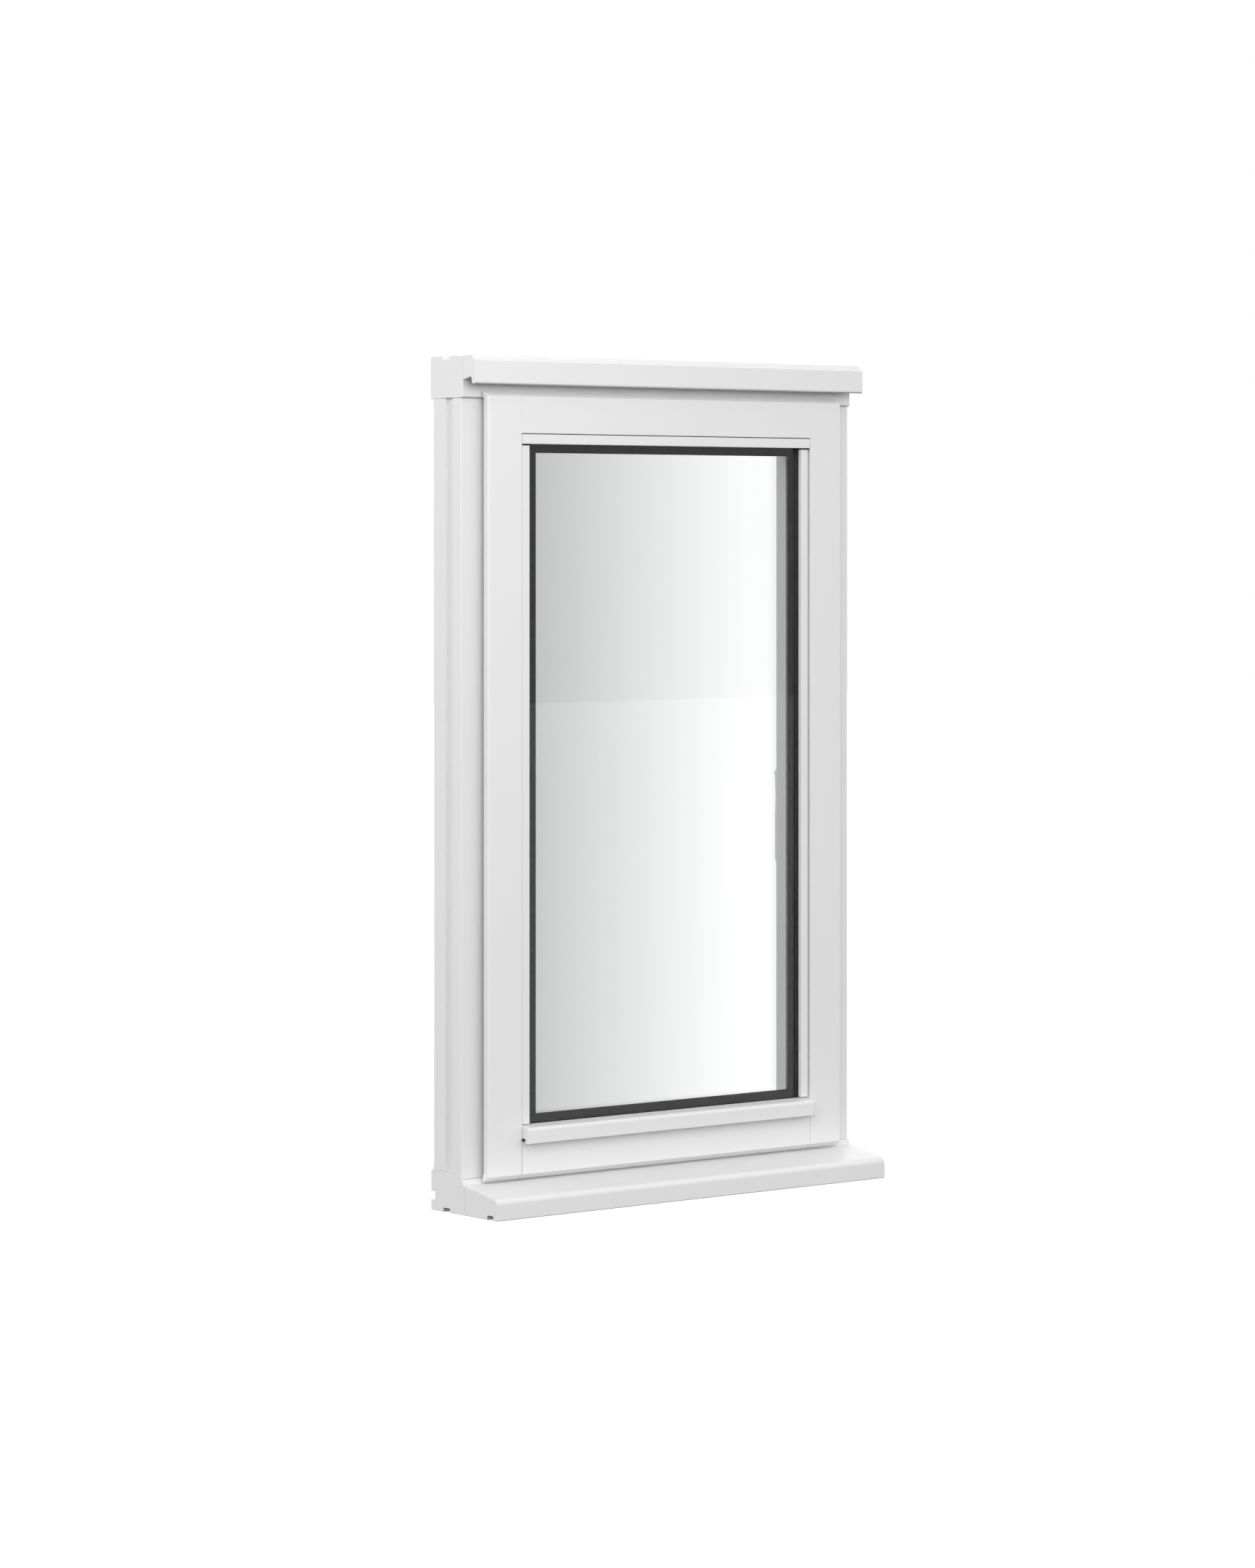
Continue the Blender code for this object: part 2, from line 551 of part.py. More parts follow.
def make_glass():
    low, high = (UNIT_LEFT, GLASS_FRONT, UNIT_BOTTOM), (-UNIT_LEFT, GLASS_FRONT + PANE, UNIT_TOP)
    outer = box("outer_pane", low, high, GLASS)
    low, high = (UNIT_LEFT, GLASS_BACK - PANE, UNIT_BOTTOM), (-UNIT_LEFT, GLASS_BACK, UNIT_TOP)
    inner = box("inner_pane", low, high, GLASS)
    pieces = [outer, inner]
    front, back = GLASS_FRONT + PANE + GAP, GLASS_BACK - PANE - GAP
    side = UNIT_LEFT + SPACER_WIDTH
    for name, bottom, top in (
        ("bottom_spacer", UNIT_BOTTOM, UNIT_BOTTOM + SPACER_WIDTH),
        ("top_spacer", UNIT_TOP - SPACER_WIDTH, UNIT_TOP),
    ):
        pieces.append(box(name, (UNIT_LEFT, front, bottom), (-UNIT_LEFT, back, top), SPACER))
    bottom, top = UNIT_BOTTOM + SPACER_WIDTH + GAP, UNIT_TOP - SPACER_WIDTH - GAP
    pieces.append(box("left_spacer", (UNIT_LEFT, front, bottom), (side, back, top), SPACER))
    pieces.append(box("right_spacer", (-side, front, bottom), (-UNIT_LEFT, back, top), SPACER))
    block, inset = 60 * MM, 70 * MM
    low_z, high_z = REBATE_BOTTOM + 3 * MM + GAP, UNIT_BOTTOM - GAP
    for name, start in (("left_block", UNIT_LEFT + inset), ("right_block", -UNIT_LEFT - inset - block)):
        low, high = (start, GLASS_FRONT + 1 * MM, low_z), (start + block, GLASS_BACK - 1 * MM, high_z)
        pieces.append(box(name, low, high, NYLON))
    return pieces


# ---------------------------------------------------------------- stays
TRACK_LEVEL = GAP
SHORT_LEVEL = 3.6 * MM
LONG_LEVEL = SHORT_LEVEL + PLATE + 1.2 * MM
BAR_LEVEL = AIR_GAP - GAP - PLATE
HEAD_THICK = 0.7 * MM


def arm_outline(start, end, hole_start, hole_end):
    """A flat arm between two pivots, with round ends and a hole at each."""
    half = ARM_WIDTH / 2
    corners = [(start - half, -half), (end + half, -half), (end + half, half), (start - half, half)]
    rim = rounded([(u, STAY_FROM_FACE + v, half * 0.999) for u, v in corners])
    holes = [circle(x, STAY_FROM_FACE, radius) for x, radius in ((start, hole_start), (end, hole_end)) if radius]
    return [rim] + holes


def make_stay(place_name, base, way):
    """One stay: base is the frame's surface that it is screwed to, and way points from it to the sash."""
    def flat(name, outlines, level, thickness, material):
        ends = sorted((base + way * level, base + way * (level + thickness)))
        return prism(place_name + "_" + name, outlines, ends[0], ends[1], ALONG_Z, material)

    def rivet(name, x, low, high, collar_low, collar_high, head_low):
        """A shank from low to high, a collar round part of it, and a head at head_low."""
        steps = [(low, RIVET), (high, RIVET)]
        marks = sorted({low, high, collar_low, collar_high, head_low, head_low + HEAD_THICK}, reverse=True)
        profile = [(0, marks[0])]
        for upper, lower in zip(marks, marks[1:]):
            middle = (upper + lower) / 2
            wide = collar_low < middle < collar_high or head_low < middle < head_low + HEAD_THICK
            radius = RIVET_HEAD if wide else RIVET
            profile += [(radius, upper), (radius, lower)]
        profile.append((0, marks[-1]))
        tidy = [point for i, point in enumerate(profile) if i == 0 or point != profile[i - 1]]
        stand = Matrix.Translation((x, STAY_FROM_FACE, base))
        if way < 0:
            stand = stand @ Matrix.Rotation(math.pi, 4, "X")
        return turned(place_name + "_" + name, tidy, stand, STEEL)

    hole = RIVET + GAP
    half = STAY_WIDTH / 2
    track_end, track_start = LONG_PIVOT_X + 40 * MM, NOSE_X - 11 * MM
    rim = [(track_start, -half), (track_end, -half), (track_end, half), (track_start, half)]
    rim = [(x, STAY_FROM_FACE + y) for x, y in rim]
    holes = [circle(x, STAY_FROM_FACE, hole) for x in (SHORT_PIVOT_X, LONG_PIVOT_X)]
    track = flat("track", [rim] + holes, TRACK_LEVEL, PLATE - GAP, STEEL)
    for index, side in enumerate((-1, 1)):
        edges = sorted((STAY_FROM_FACE + side * half, STAY_FROM_FACE + side * (half - 1.2 * MM)))
        levels = sorted((base + way * TRACK_LEVEL, base + way * 2.4 * MM))
        rib = box(
            place_name + "_track_rib_" + str(index),
            (track_start, edges[0], levels[0]), (track_end, edges[1], levels[1]), collection=CUTTERS,
        )
        change(track, rib, "UNION")

    cap_start, cap_end = track_start - 6 * MM, track_start - GAP
    back = STAY_FROM_FACE + half
    cap = [
        (cap_start, STAY_FROM_FACE - half, 1.5 * MM), (cap_start + 3 * MM, STAY_FROM_FACE - half, 1 * MM),
        (cap_start + 3.5 * MM, back - 4 * MM), (cap_end, back - 4 * MM), (cap_end, back, 1 * MM),
        (cap_start, back, 1.5 * MM),
    ]
    flat("end_cap", [rounded(cap)], TRACK_LEVEL, AIR_GAP - 3 * MM, NYLON)

    short = flat("short_arm", arm_outline(NOSE_X, SHORT_PIVOT_X, hole, hole), SHORT_LEVEL, PLATE, STEEL)
    long = flat("long_arm", arm_outline(BAR_PIVOT_X, LONG_PIVOT_X, hole, hole), LONG_LEVEL, PLATE, STEEL)
    bar_end = BAR_PIVOT_X + 150 * MM
    bar = flat("sash_bar", arm_outline(NOSE_X, bar_end, hole, 0), BAR_LEVEL, PLATE, STEEL)

    short_top, long_top = SHORT_LEVEL + PLATE, LONG_LEVEL + PLATE
    flush = TRACK_LEVEL + 0.2 * MM
    rivet("frame_rivet", SHORT_PIVOT_X, flush, short_top, PLATE + GAP, SHORT_LEVEL - GAP, short_top)
    nose = rivet(
        "nose_rivet", NOSE_X, SHORT_LEVEL, AIR_GAP - 2 * GAP, short_top + GAP, BAR_LEVEL - GAP,
        SHORT_LEVEL - GAP - HEAD_THICK,
    )
    knee = rivet(
        "knee_rivet", BAR_PIVOT_X, LONG_LEVEL, BAR_LEVEL - PLAY, long_top + GAP, BAR_LEVEL - PLAY,
        LONG_LEVEL - 0.1 * MM - HEAD_THICK,
    )
    rivet("track_rivet", LONG_PIVOT_X, flush, long_top, PLATE + GAP, LONG_LEVEL - GAP, long_top + GAP)
    middle = base + way * AIR_GAP / 2
    hang_on(place_name + "_short_arm_axis", (SHORT_PIVOT_X, STAY_FROM_FACE, middle), [short])
    hang_on(place_name + "_long_arm_axis", (LONG_PIVOT_X, STAY_FROM_FACE, middle), [long, knee])
    return [bar, nose]


# ---------------------------------------------------------------- lock and handle
LOCK_Y = SASH_BACK - LOCK_FROM_BACK
FACEPLATE_WIDTH = 16 * MM
FACEPLATE_THICK = 2.4 * MM
ROD_THICK = 4 * MM
ROD_WIDTH = 8 * MM
NECK = 3 * MM
CAM_RADIUS = 5 * MM
GROOVE_BACK = BODY_RIGHT - FACEPLATE_THICK - ROD_THICK - 4 * GAP
LOCK_LENGTH = CAM_SPACING + 180 * MM
GEARBOX_HEIGHT = 70 * MM


def make_lock(stile):
    low_z, high_z = HANDLE_HEIGHT - LOCK_LENGTH / 2, HANDLE_HEIGHT + LOCK_LENGTH / 2
    half = FACEPLATE_WIDTH / 2
    low = (GROOVE_BACK, LOCK_Y - half - GAP, low_z - GAP)
    high = (BODY_RIGHT + 1 * MM, LOCK_Y + half + GAP, high_z + GAP)
    change(stile, cutter_box("lock_groove", low, high))
    cams = [HANDLE_HEIGHT - CAM_SPACING / 2, HANDLE_HEIGHT + CAM_SPACING / 2]

    rim = [(LOCK_Y - half, low_z), (LOCK_Y + half, low_z), (LOCK_Y + half, high_z), (LOCK_Y - half, high_z)]
    middle_of_travel = [z - ROD_TRAVEL / 2 for z in cams]
    slots = [slot(LOCK_Y, z, ROD_TRAVEL + 2 * NECK + 4 * PLAY, NECK + PLAY) for z in middle_of_travel]
    faceplate_ends = (BODY_RIGHT - FACEPLATE_THICK - GAP, BODY_RIGHT - GAP)
    faceplate = prism("lock_faceplate", [rim] + slots, *faceplate_ends, ALONG_X, ZINC)

    rod_end = BODY_RIGHT - FACEPLATE_THICK - 2 * GAP
    reach = CAM_SPACING / 2 + 14 * MM
    holes = [circle(LOCK_Y, z, NECK) for z in cams]
    rod_low, rod_high = HANDLE_HEIGHT - reach, HANDLE_HEIGHT + reach
    half_rod = ROD_WIDTH / 2
    rim = [
        (LOCK_Y - half_rod, rod_low), (LOCK_Y + half_rod, rod_low),
        (LOCK_Y + half_rod, rod_high), (LOCK_Y - half_rod, rod_high),
    ]
    rod = prism("lock_rod", [rim] + holes, rod_end - ROD_THICK, rod_end, ALONG_X, ZINC)

    cam_pieces = []
    head_low, head_high = BODY_RIGHT + 2 * MM, BODY_RIGHT + AIR_GAP - 5.5 * MM
    for name, z in zip(("lower_cam", "upper_cam"), cams):
        neck = NECK - GAP
        profile = [
            (0, head_high), (CAM_RADIUS - 0.5 * MM, head_high), (CAM_RADIUS, head_high - 0.5 * MM),
            (CAM_RADIUS, head_low), (neck, head_low), (neck, rod_end - ROD_THICK + GAP),
            (0, rod_end - ROD_THICK + GAP),
        ]
        stand = Matrix.Translation((0, LOCK_Y, z)) @ Matrix.Rotation(math.pi / 2, 4, "Y")
        cam_pieces.append(turned(name, profile, stand, ZINC))

    jamb = -(-HALF + JAMB_FACE) - GAP
    wall_reach = AIR_GAP - 2.5 * MM
    wall_front = LOCK_Y - CAM_RADIUS - 4 * MM
    for name, z in zip(("lower_keep", "upper_keep"), cams):
        locked = z - ROD_TRAVEL
        low, high = locked - 24 * MM, locked + CAM_RADIUS + 2 * MM
        plate = box(name, (jamb - 1.8 * MM, wall_front, low - 10 * MM), (jamb, LOCK_Y + half, high), ZINC)
        wall = box(
            name + "_wall", (jamb - wall_reach, wall_front, locked - CAM_RADIUS - 6 * MM),
            (jamb - 1 * MM, wall_front + 3 * MM, high), collection=CUTTERS,
        )
        change(plate, wall, "UNION")

    box_left, box_right = SPINDLE_X - 8.2 * MM, GROOVE_BACK - GAP
    half_box = GEARBOX_HEIGHT / 2
    half_thick = 6 * MM
    low = (box_left, LOCK_Y - half_thick, HANDLE_HEIGHT - half_box)
    high = (box_right, LOCK_Y + half_thick, HANDLE_HEIGHT + half_box)
    gearbox = box("gearbox", low, high, ZINC)
    low = (low[0] - GAP, low[1] - GAP, low[2] - GAP)
    high = (GROOVE_BACK + GAP, high[1] + GAP, high[2] + GAP)
    change(stile, cutter_box("gearbox_pocket", low, high))
    bore = prism("gearbox_bore", [circle(SPINDLE_X, HANDLE_HEIGHT, 6 * MM, 24)],
                 -(LOCK_Y + 20 * MM), -(LOCK_Y - 20 * MM), ALONG_Y, None, CUTTERS)
    change(gearbox, bore)
    hole = prism("spindle_hole", [circle(SPINDLE_X, HANDLE_HEIGHT, 6.5 * MM, 24)],
                 -(SASH_BACK + 5 * MM), -LOCK_Y, ALONG_Y, None, CUTTERS)
    change(stile, hole)
    hang_on("lock_rod_axis", (rod_end, LOCK_Y, HANDLE_HEIGHT), [rod] + cam_pieces)
    return [faceplate, gearbox]


def make_handle():
    base_back, base_front = SASH_BACK + GAP, SASH_BACK + 8.5 * MM
    half, high = BASE_WIDTH / 2, BASE_HEIGHT / 2
    corners = [
        (SPINDLE_X - half, HANDLE_HEIGHT - high, 8 * MM), (SPINDLE_X + half, HANDLE_HEIGHT - high, 8 * MM),
        (SPINDLE_X + half, HANDLE_HEIGHT + high, 8 * MM), (SPINDLE_X - half, HANDLE_HEIGHT + high, 8 * MM),
    ]
    hole = circle(SPINDLE_X, HANDLE_HEIGHT, 6 * MM, 24)
    base = prism("handle_base", [rounded(corners), hole], -base_front, -base_back, ALONG_Y, HANDLE)
    bevel = base.modifiers.new("soft_edge", "BEVEL")
    bevel.width = 1.5 * MM
    bevel.segments = 2
    bevel.limit_method = "ANGLE"
    bevel.angle_limit = math.radians(50)

    hub_back, lever_y = base_front + GAP, base_front + 13.25 * MM
    square = 3.5 * MM
    spindle_front = hub_back - GAP
    low = (SPINDLE_X - square, LOCK_Y - 5 * MM, HANDLE_HEIGHT - square)
    high_corner = (SPINDLE_X + square, spindle_front, HANDLE_HEIGHT + square)
    spindle = box("spindle", low, high_corner, ZINC)

    half_blade, half_width = 4.25 * MM, 6.5 * MM
    tip, neck = HANDLE_HEIGHT - LEVER_LENGTH, HANDLE_HEIGHT - 24 * MM
    corners = [
        (hub_back, HANDLE_HEIGHT + 7.8 * MM, 1 * MM), (lever_y + half_blade, HANDLE_HEIGHT + 7.8 * MM, 6 * MM),
        (lever_y + half_blade, tip, 4 * MM), (lever_y - half_blade, tip, 4 * MM),
        (lever_y - half_blade, neck, 8 * MM), (hub_back, HANDLE_HEIGHT - 7.8 * MM, 1 * MM),
    ]
    sides = (SPINDLE_X - half_width, SPINDLE_X + half_width)
    lever = prism("handle_lever", [rounded(corners)], *sides, ALONG_X, HANDLE)
    bevel = lever.modifiers.new("soft_edge", "BEVEL")
    bevel.width = 2.6 * MM
    bevel.segments = 3
    bevel.limit_method = "ANGLE"
    bevel.angle_limit = math.radians(50)

    button_y = lever_y + half_blade
    well = prism("button_well", [circle(SPINDLE_X, HANDLE_HEIGHT, 4.6 * MM, 20)],
                 -button_y - 6 * MM, -button_y + 7 * MM, ALONG_Y, None, CUTTERS)
    change(lever, well)
    profile = [
        (0, button_y + 2.6 * MM), (3.2 * MM, button_y + 2.6 * MM), (4.2 * MM, button_y + 1.6 * MM),
        (4.2 * MM, button_y - 3.4 * MM), (0, button_y - 3.4 * MM),
    ]
    stand = Matrix.Translation((SPINDLE_X, 0, HANDLE_HEIGHT)) @ Matrix.Rotation(-math.pi / 2, 4, "X")
    button = turned("handle_button", profile, stand, CHROME)
    hang_on("handle_axis", (SPINDLE_X, base_front, HANDLE_HEIGHT), [lever, spindle])
    hang_on("button_axis", (SPINDLE_X, button_y, HANDLE_HEIGHT), [button])
    return [base]


def shade_round_pieces():
    for obj in WINDOW.objects:
        if obj.type == "MESH":
            obj.data.shade_smooth()
            obj.data.set_sharp_from_angle(angle=math.radians(30))


def main():
    make_head()
    make_drip_mould()
    make_sill()
    make_sill_nosing()
    make_jamb("left", False)
    make_jamb("right", True)
    make_seals()
    sash = [make_stile("left", False), make_stile("right", True)]
    sash += make_rails()
    sash += make_beads()
    sash += make_weather_bead()
    sash += make_glass()
    sash += make_stay("top", HEAD_SOFFIT, -1)
    sash += make_stay("bottom", SILL_SEAT, 1)
    sash += make_lock(sash[1])
    sash += make_handle()
    hang_on("sash_axis", (NOSE_X, STAY_FROM_FACE, HANDLE_HEIGHT), sash)
    shade_round_pieces()


main()
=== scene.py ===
"""Finishes a painted timber stormproof casement window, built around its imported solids."""

import math

import bmesh
import bpy
import numpy as np
from bpy.props import FloatProperty, PointerProperty
from bpy.types import Operator, Panel, PropertyGroup
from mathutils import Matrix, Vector


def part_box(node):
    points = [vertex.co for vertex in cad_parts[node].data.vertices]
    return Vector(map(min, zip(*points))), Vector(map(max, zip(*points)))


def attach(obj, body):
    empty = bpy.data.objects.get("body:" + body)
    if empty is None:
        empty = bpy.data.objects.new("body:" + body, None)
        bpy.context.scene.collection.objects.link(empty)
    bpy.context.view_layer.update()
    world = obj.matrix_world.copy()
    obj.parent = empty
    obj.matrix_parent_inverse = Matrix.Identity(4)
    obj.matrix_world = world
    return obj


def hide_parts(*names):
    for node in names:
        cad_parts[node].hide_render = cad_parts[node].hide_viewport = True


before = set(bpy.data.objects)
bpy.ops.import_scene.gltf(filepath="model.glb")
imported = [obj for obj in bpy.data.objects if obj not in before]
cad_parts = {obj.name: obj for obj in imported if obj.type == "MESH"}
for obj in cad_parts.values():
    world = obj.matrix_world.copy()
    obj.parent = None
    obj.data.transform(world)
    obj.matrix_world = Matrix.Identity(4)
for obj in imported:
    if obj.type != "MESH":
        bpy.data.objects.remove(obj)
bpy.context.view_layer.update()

bl_info = {
    "name": "Stormproof Casement Window",
    "version": (1, 0, 0),
    "blender": (4, 5, 0),
    "location": "3D View > Sidebar > Casement",
    "description": "Builds the finished surfaces, materials and studio for a painted timber casement window",
    "category": "Add Mesh",
}

MM = 0.001

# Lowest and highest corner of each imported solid, in millimetres.
BOX = {name: np.array(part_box(name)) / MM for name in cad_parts}


def low(node, axis):
    return BOX[node][0]["xyz".index(axis)]


def high(node, axis):
    return BOX[node][1]["xyz".index(axis)]


# Places that several pieces share, in millimetres.
GAP = 0.3
HALF = high("head", "x")
FRAME_TOP = high("head", "z")
HEAD_FRONT, HEAD_BACK = low("head", "y"), high("head", "y")
SOFFIT = high("left_jamb", "z") + GAP
STOP_FACE = high("left_jamb_seal", "y") + GAP
STOP_INNER = high("left_jamb", "x")
STOP_HEIGHT = SOFFIT - low("head", "z")
JAMB_INNER = STOP_INNER - STOP_HEIGHT
JAMB_BACK = high("left_jamb", "y")
JAMB_FOOT = low("left_jamb", "z")
SILL_BACK, SILL_TOP = high("sill", "y"), high("sill", "z")
SEAT = SILL_TOP - STOP_HEIGHT
SHOULDER = SEAT + 5.1
UPSTAND = SEAT - 0.8
# How far back the sill's top climbs from the upstand before it levels out at the shoulder.
SHELF = 38
SLOPE_TOP = UPSTAND - 6.4
SLOPE = math.tan(math.radians(9.3))
LIP_LEFT, NIB_LEFT = low("left_stile", "x"), high("left_stile", "x")
LIP_TOP, LIP_BOTTOM = high("left_stile", "z"), low("left_stile", "z")
SASH_FRONT, SASH_BACK = low("left_stile", "y"), high("left_stile", "y")
LIP_BACK = SASH_FRONT + 11.5
LIP_EASE = 0.35
AIR_GAP = low("bottom_sash_bar", "z") - SEAT + 2.1
BODY_LEFT = JAMB_INNER + AIR_GAP
BODY_TOP, BODY_BOTTOM = SOFFIT - AIR_GAP, SEAT + AIR_GAP
REBATE_LEFT = low("top_rail", "x") - GAP
REBATE_TOP, REBATE_BOTTOM = LIP_TOP - 51, LIP_BOTTOM + 45.8
GLASS_FRONT, GLASS_BACK = low("outer_pane", "y"), high("inner_pane", "y")
REBATE_BACK = GLASS_BACK + 2
NIB_HEIGHT = 15
NIB_TOP = REBATE_TOP - NIB_HEIGHT
NIB_BOTTOM = low("outer_pane", "z") + NIB_HEIGHT
BEVEL_DEPTH, BEVEL_HEIGHT = 9.5, 6.2
BEAD_TOP = high("weather_bead", "z") + 0.5
STAY_Y = (low("top_short_arm", "y") + high("top_short_arm", "y")) / 2
PLATE = 1.8
LOCK_Y = (low("lower_cam", "y") + high("lower_cam", "y")) / 2
SPINDLE_X = (low("handle_base", "x") + high("handle_base", "x")) / 2
HANDLE_Z = (low("handle_base", "z") + high("handle_base", "z")) / 2

# Stock sizes of the timber's grooves and beads, how far the glass's edge seals splay and how much further
# in the left one stands, and radii of the rivets, screws and bores, in millimetres.
GROOVE_WIDTH, GROOVE_DEPTH = 14, 4
BEAD_WIDTH = 13.7
SEAL_SPLAY, LEFT_SEAL_IN = 13.2, 1.5
SHANK, RIVET_HEAD, BORE = 2.7, 4.5, 3.0
SCREW_RADIUS = 3.2
NECK_BORE = 6.0

# Steps in a rounded corner, and rings in an eased end.
ARC = 10
EASE_STEPS = 4
# The least ease, for tools and for ends that are covered.
HAIR = 0.05


# ------------------------------------------------------------------ shapes
def section(corners, inset=0.0):
    """An outline with rounded corners, as an array of points.

    Each corner is (u, v, radius). A corner first moves inwards along its mitre by inset. Its arc's centre
    stands a radius off both edges, and its points lie at angles spread evenly from the first edge's
    tangent point to the second's. A convex radius shrinks by inset and a hollow one grows by it.
    """
    corners = np.asarray(corners, float)
    here = corners[:, :2]
    area = np.sum(here[:, 0] * np.roll(here[:, 1], -1) - here[:, 1] * np.roll(here[:, 0], -1))
    if area < 0:
        corners = corners[::-1]
        here = corners[:, :2]
    arriving = here - np.roll(here, 1, 0)
    arriving /= np.linalg.norm(arriving, axis=1, keepdims=True)
    leaving = np.roll(arriving, -1, 0)
    inwards = np.stack([-arriving[:, 1], arriving[:, 0]], 1)
    next_inwards = np.roll(inwards, -1, 0)
    cross = arriving[:, 0] * leaving[:, 1] - arriving[:, 1] * leaving[:, 0]
    turn = np.arctan2(cross, np.sum(arriving * leaving, 1))
    mitre = (inwards + next_inwards) / (1 + np.sum(inwards * next_inwards, 1))[:, None]
    corner = here + inset * mitre
    side = np.sign(turn)
    radius = np.where(corners[:, 2] > 0, np.maximum(corners[:, 2] - side * inset, 1e-3), 0.0)
    reach = radius * np.tan(np.abs(turn) / 2)
    centre = corner - arriving * reach[:, None] + inwards * (side * radius)[:, None]
    angle = turn[:, None] * np.linspace(0, 1, ARC + 1)[None, :]
    cos, sin = np.cos(angle), np.sin(angle)
    spoke_u = inwards[:, None, 0] * cos - inwards[:, None, 1] * sin
    spoke_v = inwards[:, None, 0] * sin + inwards[:, None, 1] * cos
    spoke = np.stack([spoke_u, spoke_v], 2) * (side * radius)[:, None, None]
    return (centre[:, None, :] - spoke).reshape(-1, 2)


WAYS = {"x": (1, 2, 0), "y": (2, 0, 1), "z": (0, 1, 2)}


def run(corners, start, end, way, ease=0.8, stations=(), start_ease=None):
    """A solid whose outline is carried along one axis from start to end, with eased ends.

    Towards an end the outline is drawn in by ease * (1 - sin t) while it has ease * (1 - cos t) left to
    go, so its last arrises are quarter rounds. start_ease is another ease for the first end. corners may
    be a function of the place along the axis, and then stations are the places between the ends where it
    is drawn.
    """
    shape = corners if callable(corners) else lambda place: corners
    turns = np.linspace(0, math.pi / 2, EASE_STEPS)
    first = ease if start_ease is None else start_ease
    places = np.concatenate([
        start + first * (1 - np.cos(turns)),
        np.asarray(stations, float),
        (end - ease * (1 - np.cos(turns)))[::-1],
    ])
    insets = np.concatenate([
        first * (1 - np.sin(turns)),
        np.zeros(len(stations)),
        ease * (1 - np.sin(turns))[::-1],
    ])
    outlines = np.stack([section(shape(place), inset) for place, inset in zip(places, insets)])
    rings = np.empty(outlines.shape[:2] + (3,))
    u_axis, v_axis, along = WAYS[way]
    rings[:, :, u_axis], rings[:, :, v_axis] = outlines[:, :, 0], outlines[:, :, 1]
    rings[:, :, along] = places[:, None]
    return capped(rings)


def grid_faces(rows, columns, closed=True):
    """Quads between neighbouring rows of points, each row closed round on itself or left open."""
    row = np.arange(rows - 1)[:, None] * columns
    column = np.arange(columns if closed else columns - 1)[None, :]
    following = (column + 1) % columns
    quads = np.stack([row + column, row + following, row + columns + following, row + columns + column], 2)
    return quads.reshape(-1, 4).tolist()


def capped(rings):
    """Points and faces of a tube through closed rings of points, with a flat face over each end."""
    rows, columns = rings.shape[:2]
    faces = grid_faces(rows, columns)
    faces.append(list(range(columns))[::-1])
    faces.append(list(range((rows - 1) * columns, rows * columns)))
    return rings.reshape(-1, 3), faces


def lathe(profile, centre, way, steps=40):
    """A turned solid: point (radius, height) of the profile goes round at radius * (cos t, sin t)."""
    profile = np.asarray(profile, float)
    turn = np.linspace(0, 2 * math.pi, steps, endpoint=False)
    rings = np.empty((len(profile), steps, 3))
    u_axis, v_axis, along = WAYS[way]
    rings[:, :, u_axis] = profile[:, :1] * np.cos(turn)
    rings[:, :, v_axis] = profile[:, :1] * np.sin(turn)
    rings[:, :, along] = profile[:, 1:]
    return capped(rings + np.asarray(centre, float))


def dome(radius, foot, height, steps=8, eye=0.05):
    """Profile of a domed head for lathe: (radius * cos t, foot + height * sin t), up to a small eye."""
    turns = np.linspace(0, math.pi / 2 - eye, steps)
    return [(radius * math.cos(t), foot + height * math.sin(t)) for t in turns]


def rectangle(u0, v0, u1, v1, radius):
    """The corners of a rectangle, all of one radius."""
    return [(u0, v0, radius), (u1, v0, radius), (u1, v1, radius), (u0, v1, radius)]


def block(lowest, highest, ease=0.4):
    """A box with rounded arrises all round: a rounded rectangle carried along z with eased ends."""
    (x0, y0, z0), (x1, y1, z1) = lowest, highest
    return run(rectangle(x0, y0, x1, y1, ease), z0, z1, "z", ease)


def strap(start, end, bottom, top, half, ease=0.3):
    """A flat strip with round ends about two points on the stay's line: a stadium outline carried along z."""
    stadium = rectangle(start - half, STAY_Y - half, end + half, STAY_Y + half, half)
    return run(stadium, min(bottom, top), max(bottom, top), "z", ease)


def loft(places, centres, halves, power, way, steps=36):
    """A solid through superellipses: at each place the ring is centre + half * sgn(cos t) *
    |cos t| ** (2 / power) in one direction, and the same with sin t in the other."""
    turn = np.linspace(0, 2 * math.pi, steps, endpoint=False)
    bow = 2 / power
    across = np.sign(np.cos(turn)) * np.abs(np.cos(turn)) ** bow
    deep = np.sign(np.sin(turn)) * np.abs(np.sin(turn)) ** bow
    centres, halves = np.asarray(centres, float), np.asarray(halves, float)
    rings = np.empty((len(places), steps, 3))
    u_axis, v_axis, along = WAYS[way]
    rings[:, :, u_axis] = centres[:, :1] + halves[:, :1] * across
    rings[:, :, v_axis] = centres[:, 1:] + halves[:, 1:] * deep
    rings[:, :, along] = np.asarray(places, float)[:, None]
    return capped(rings)


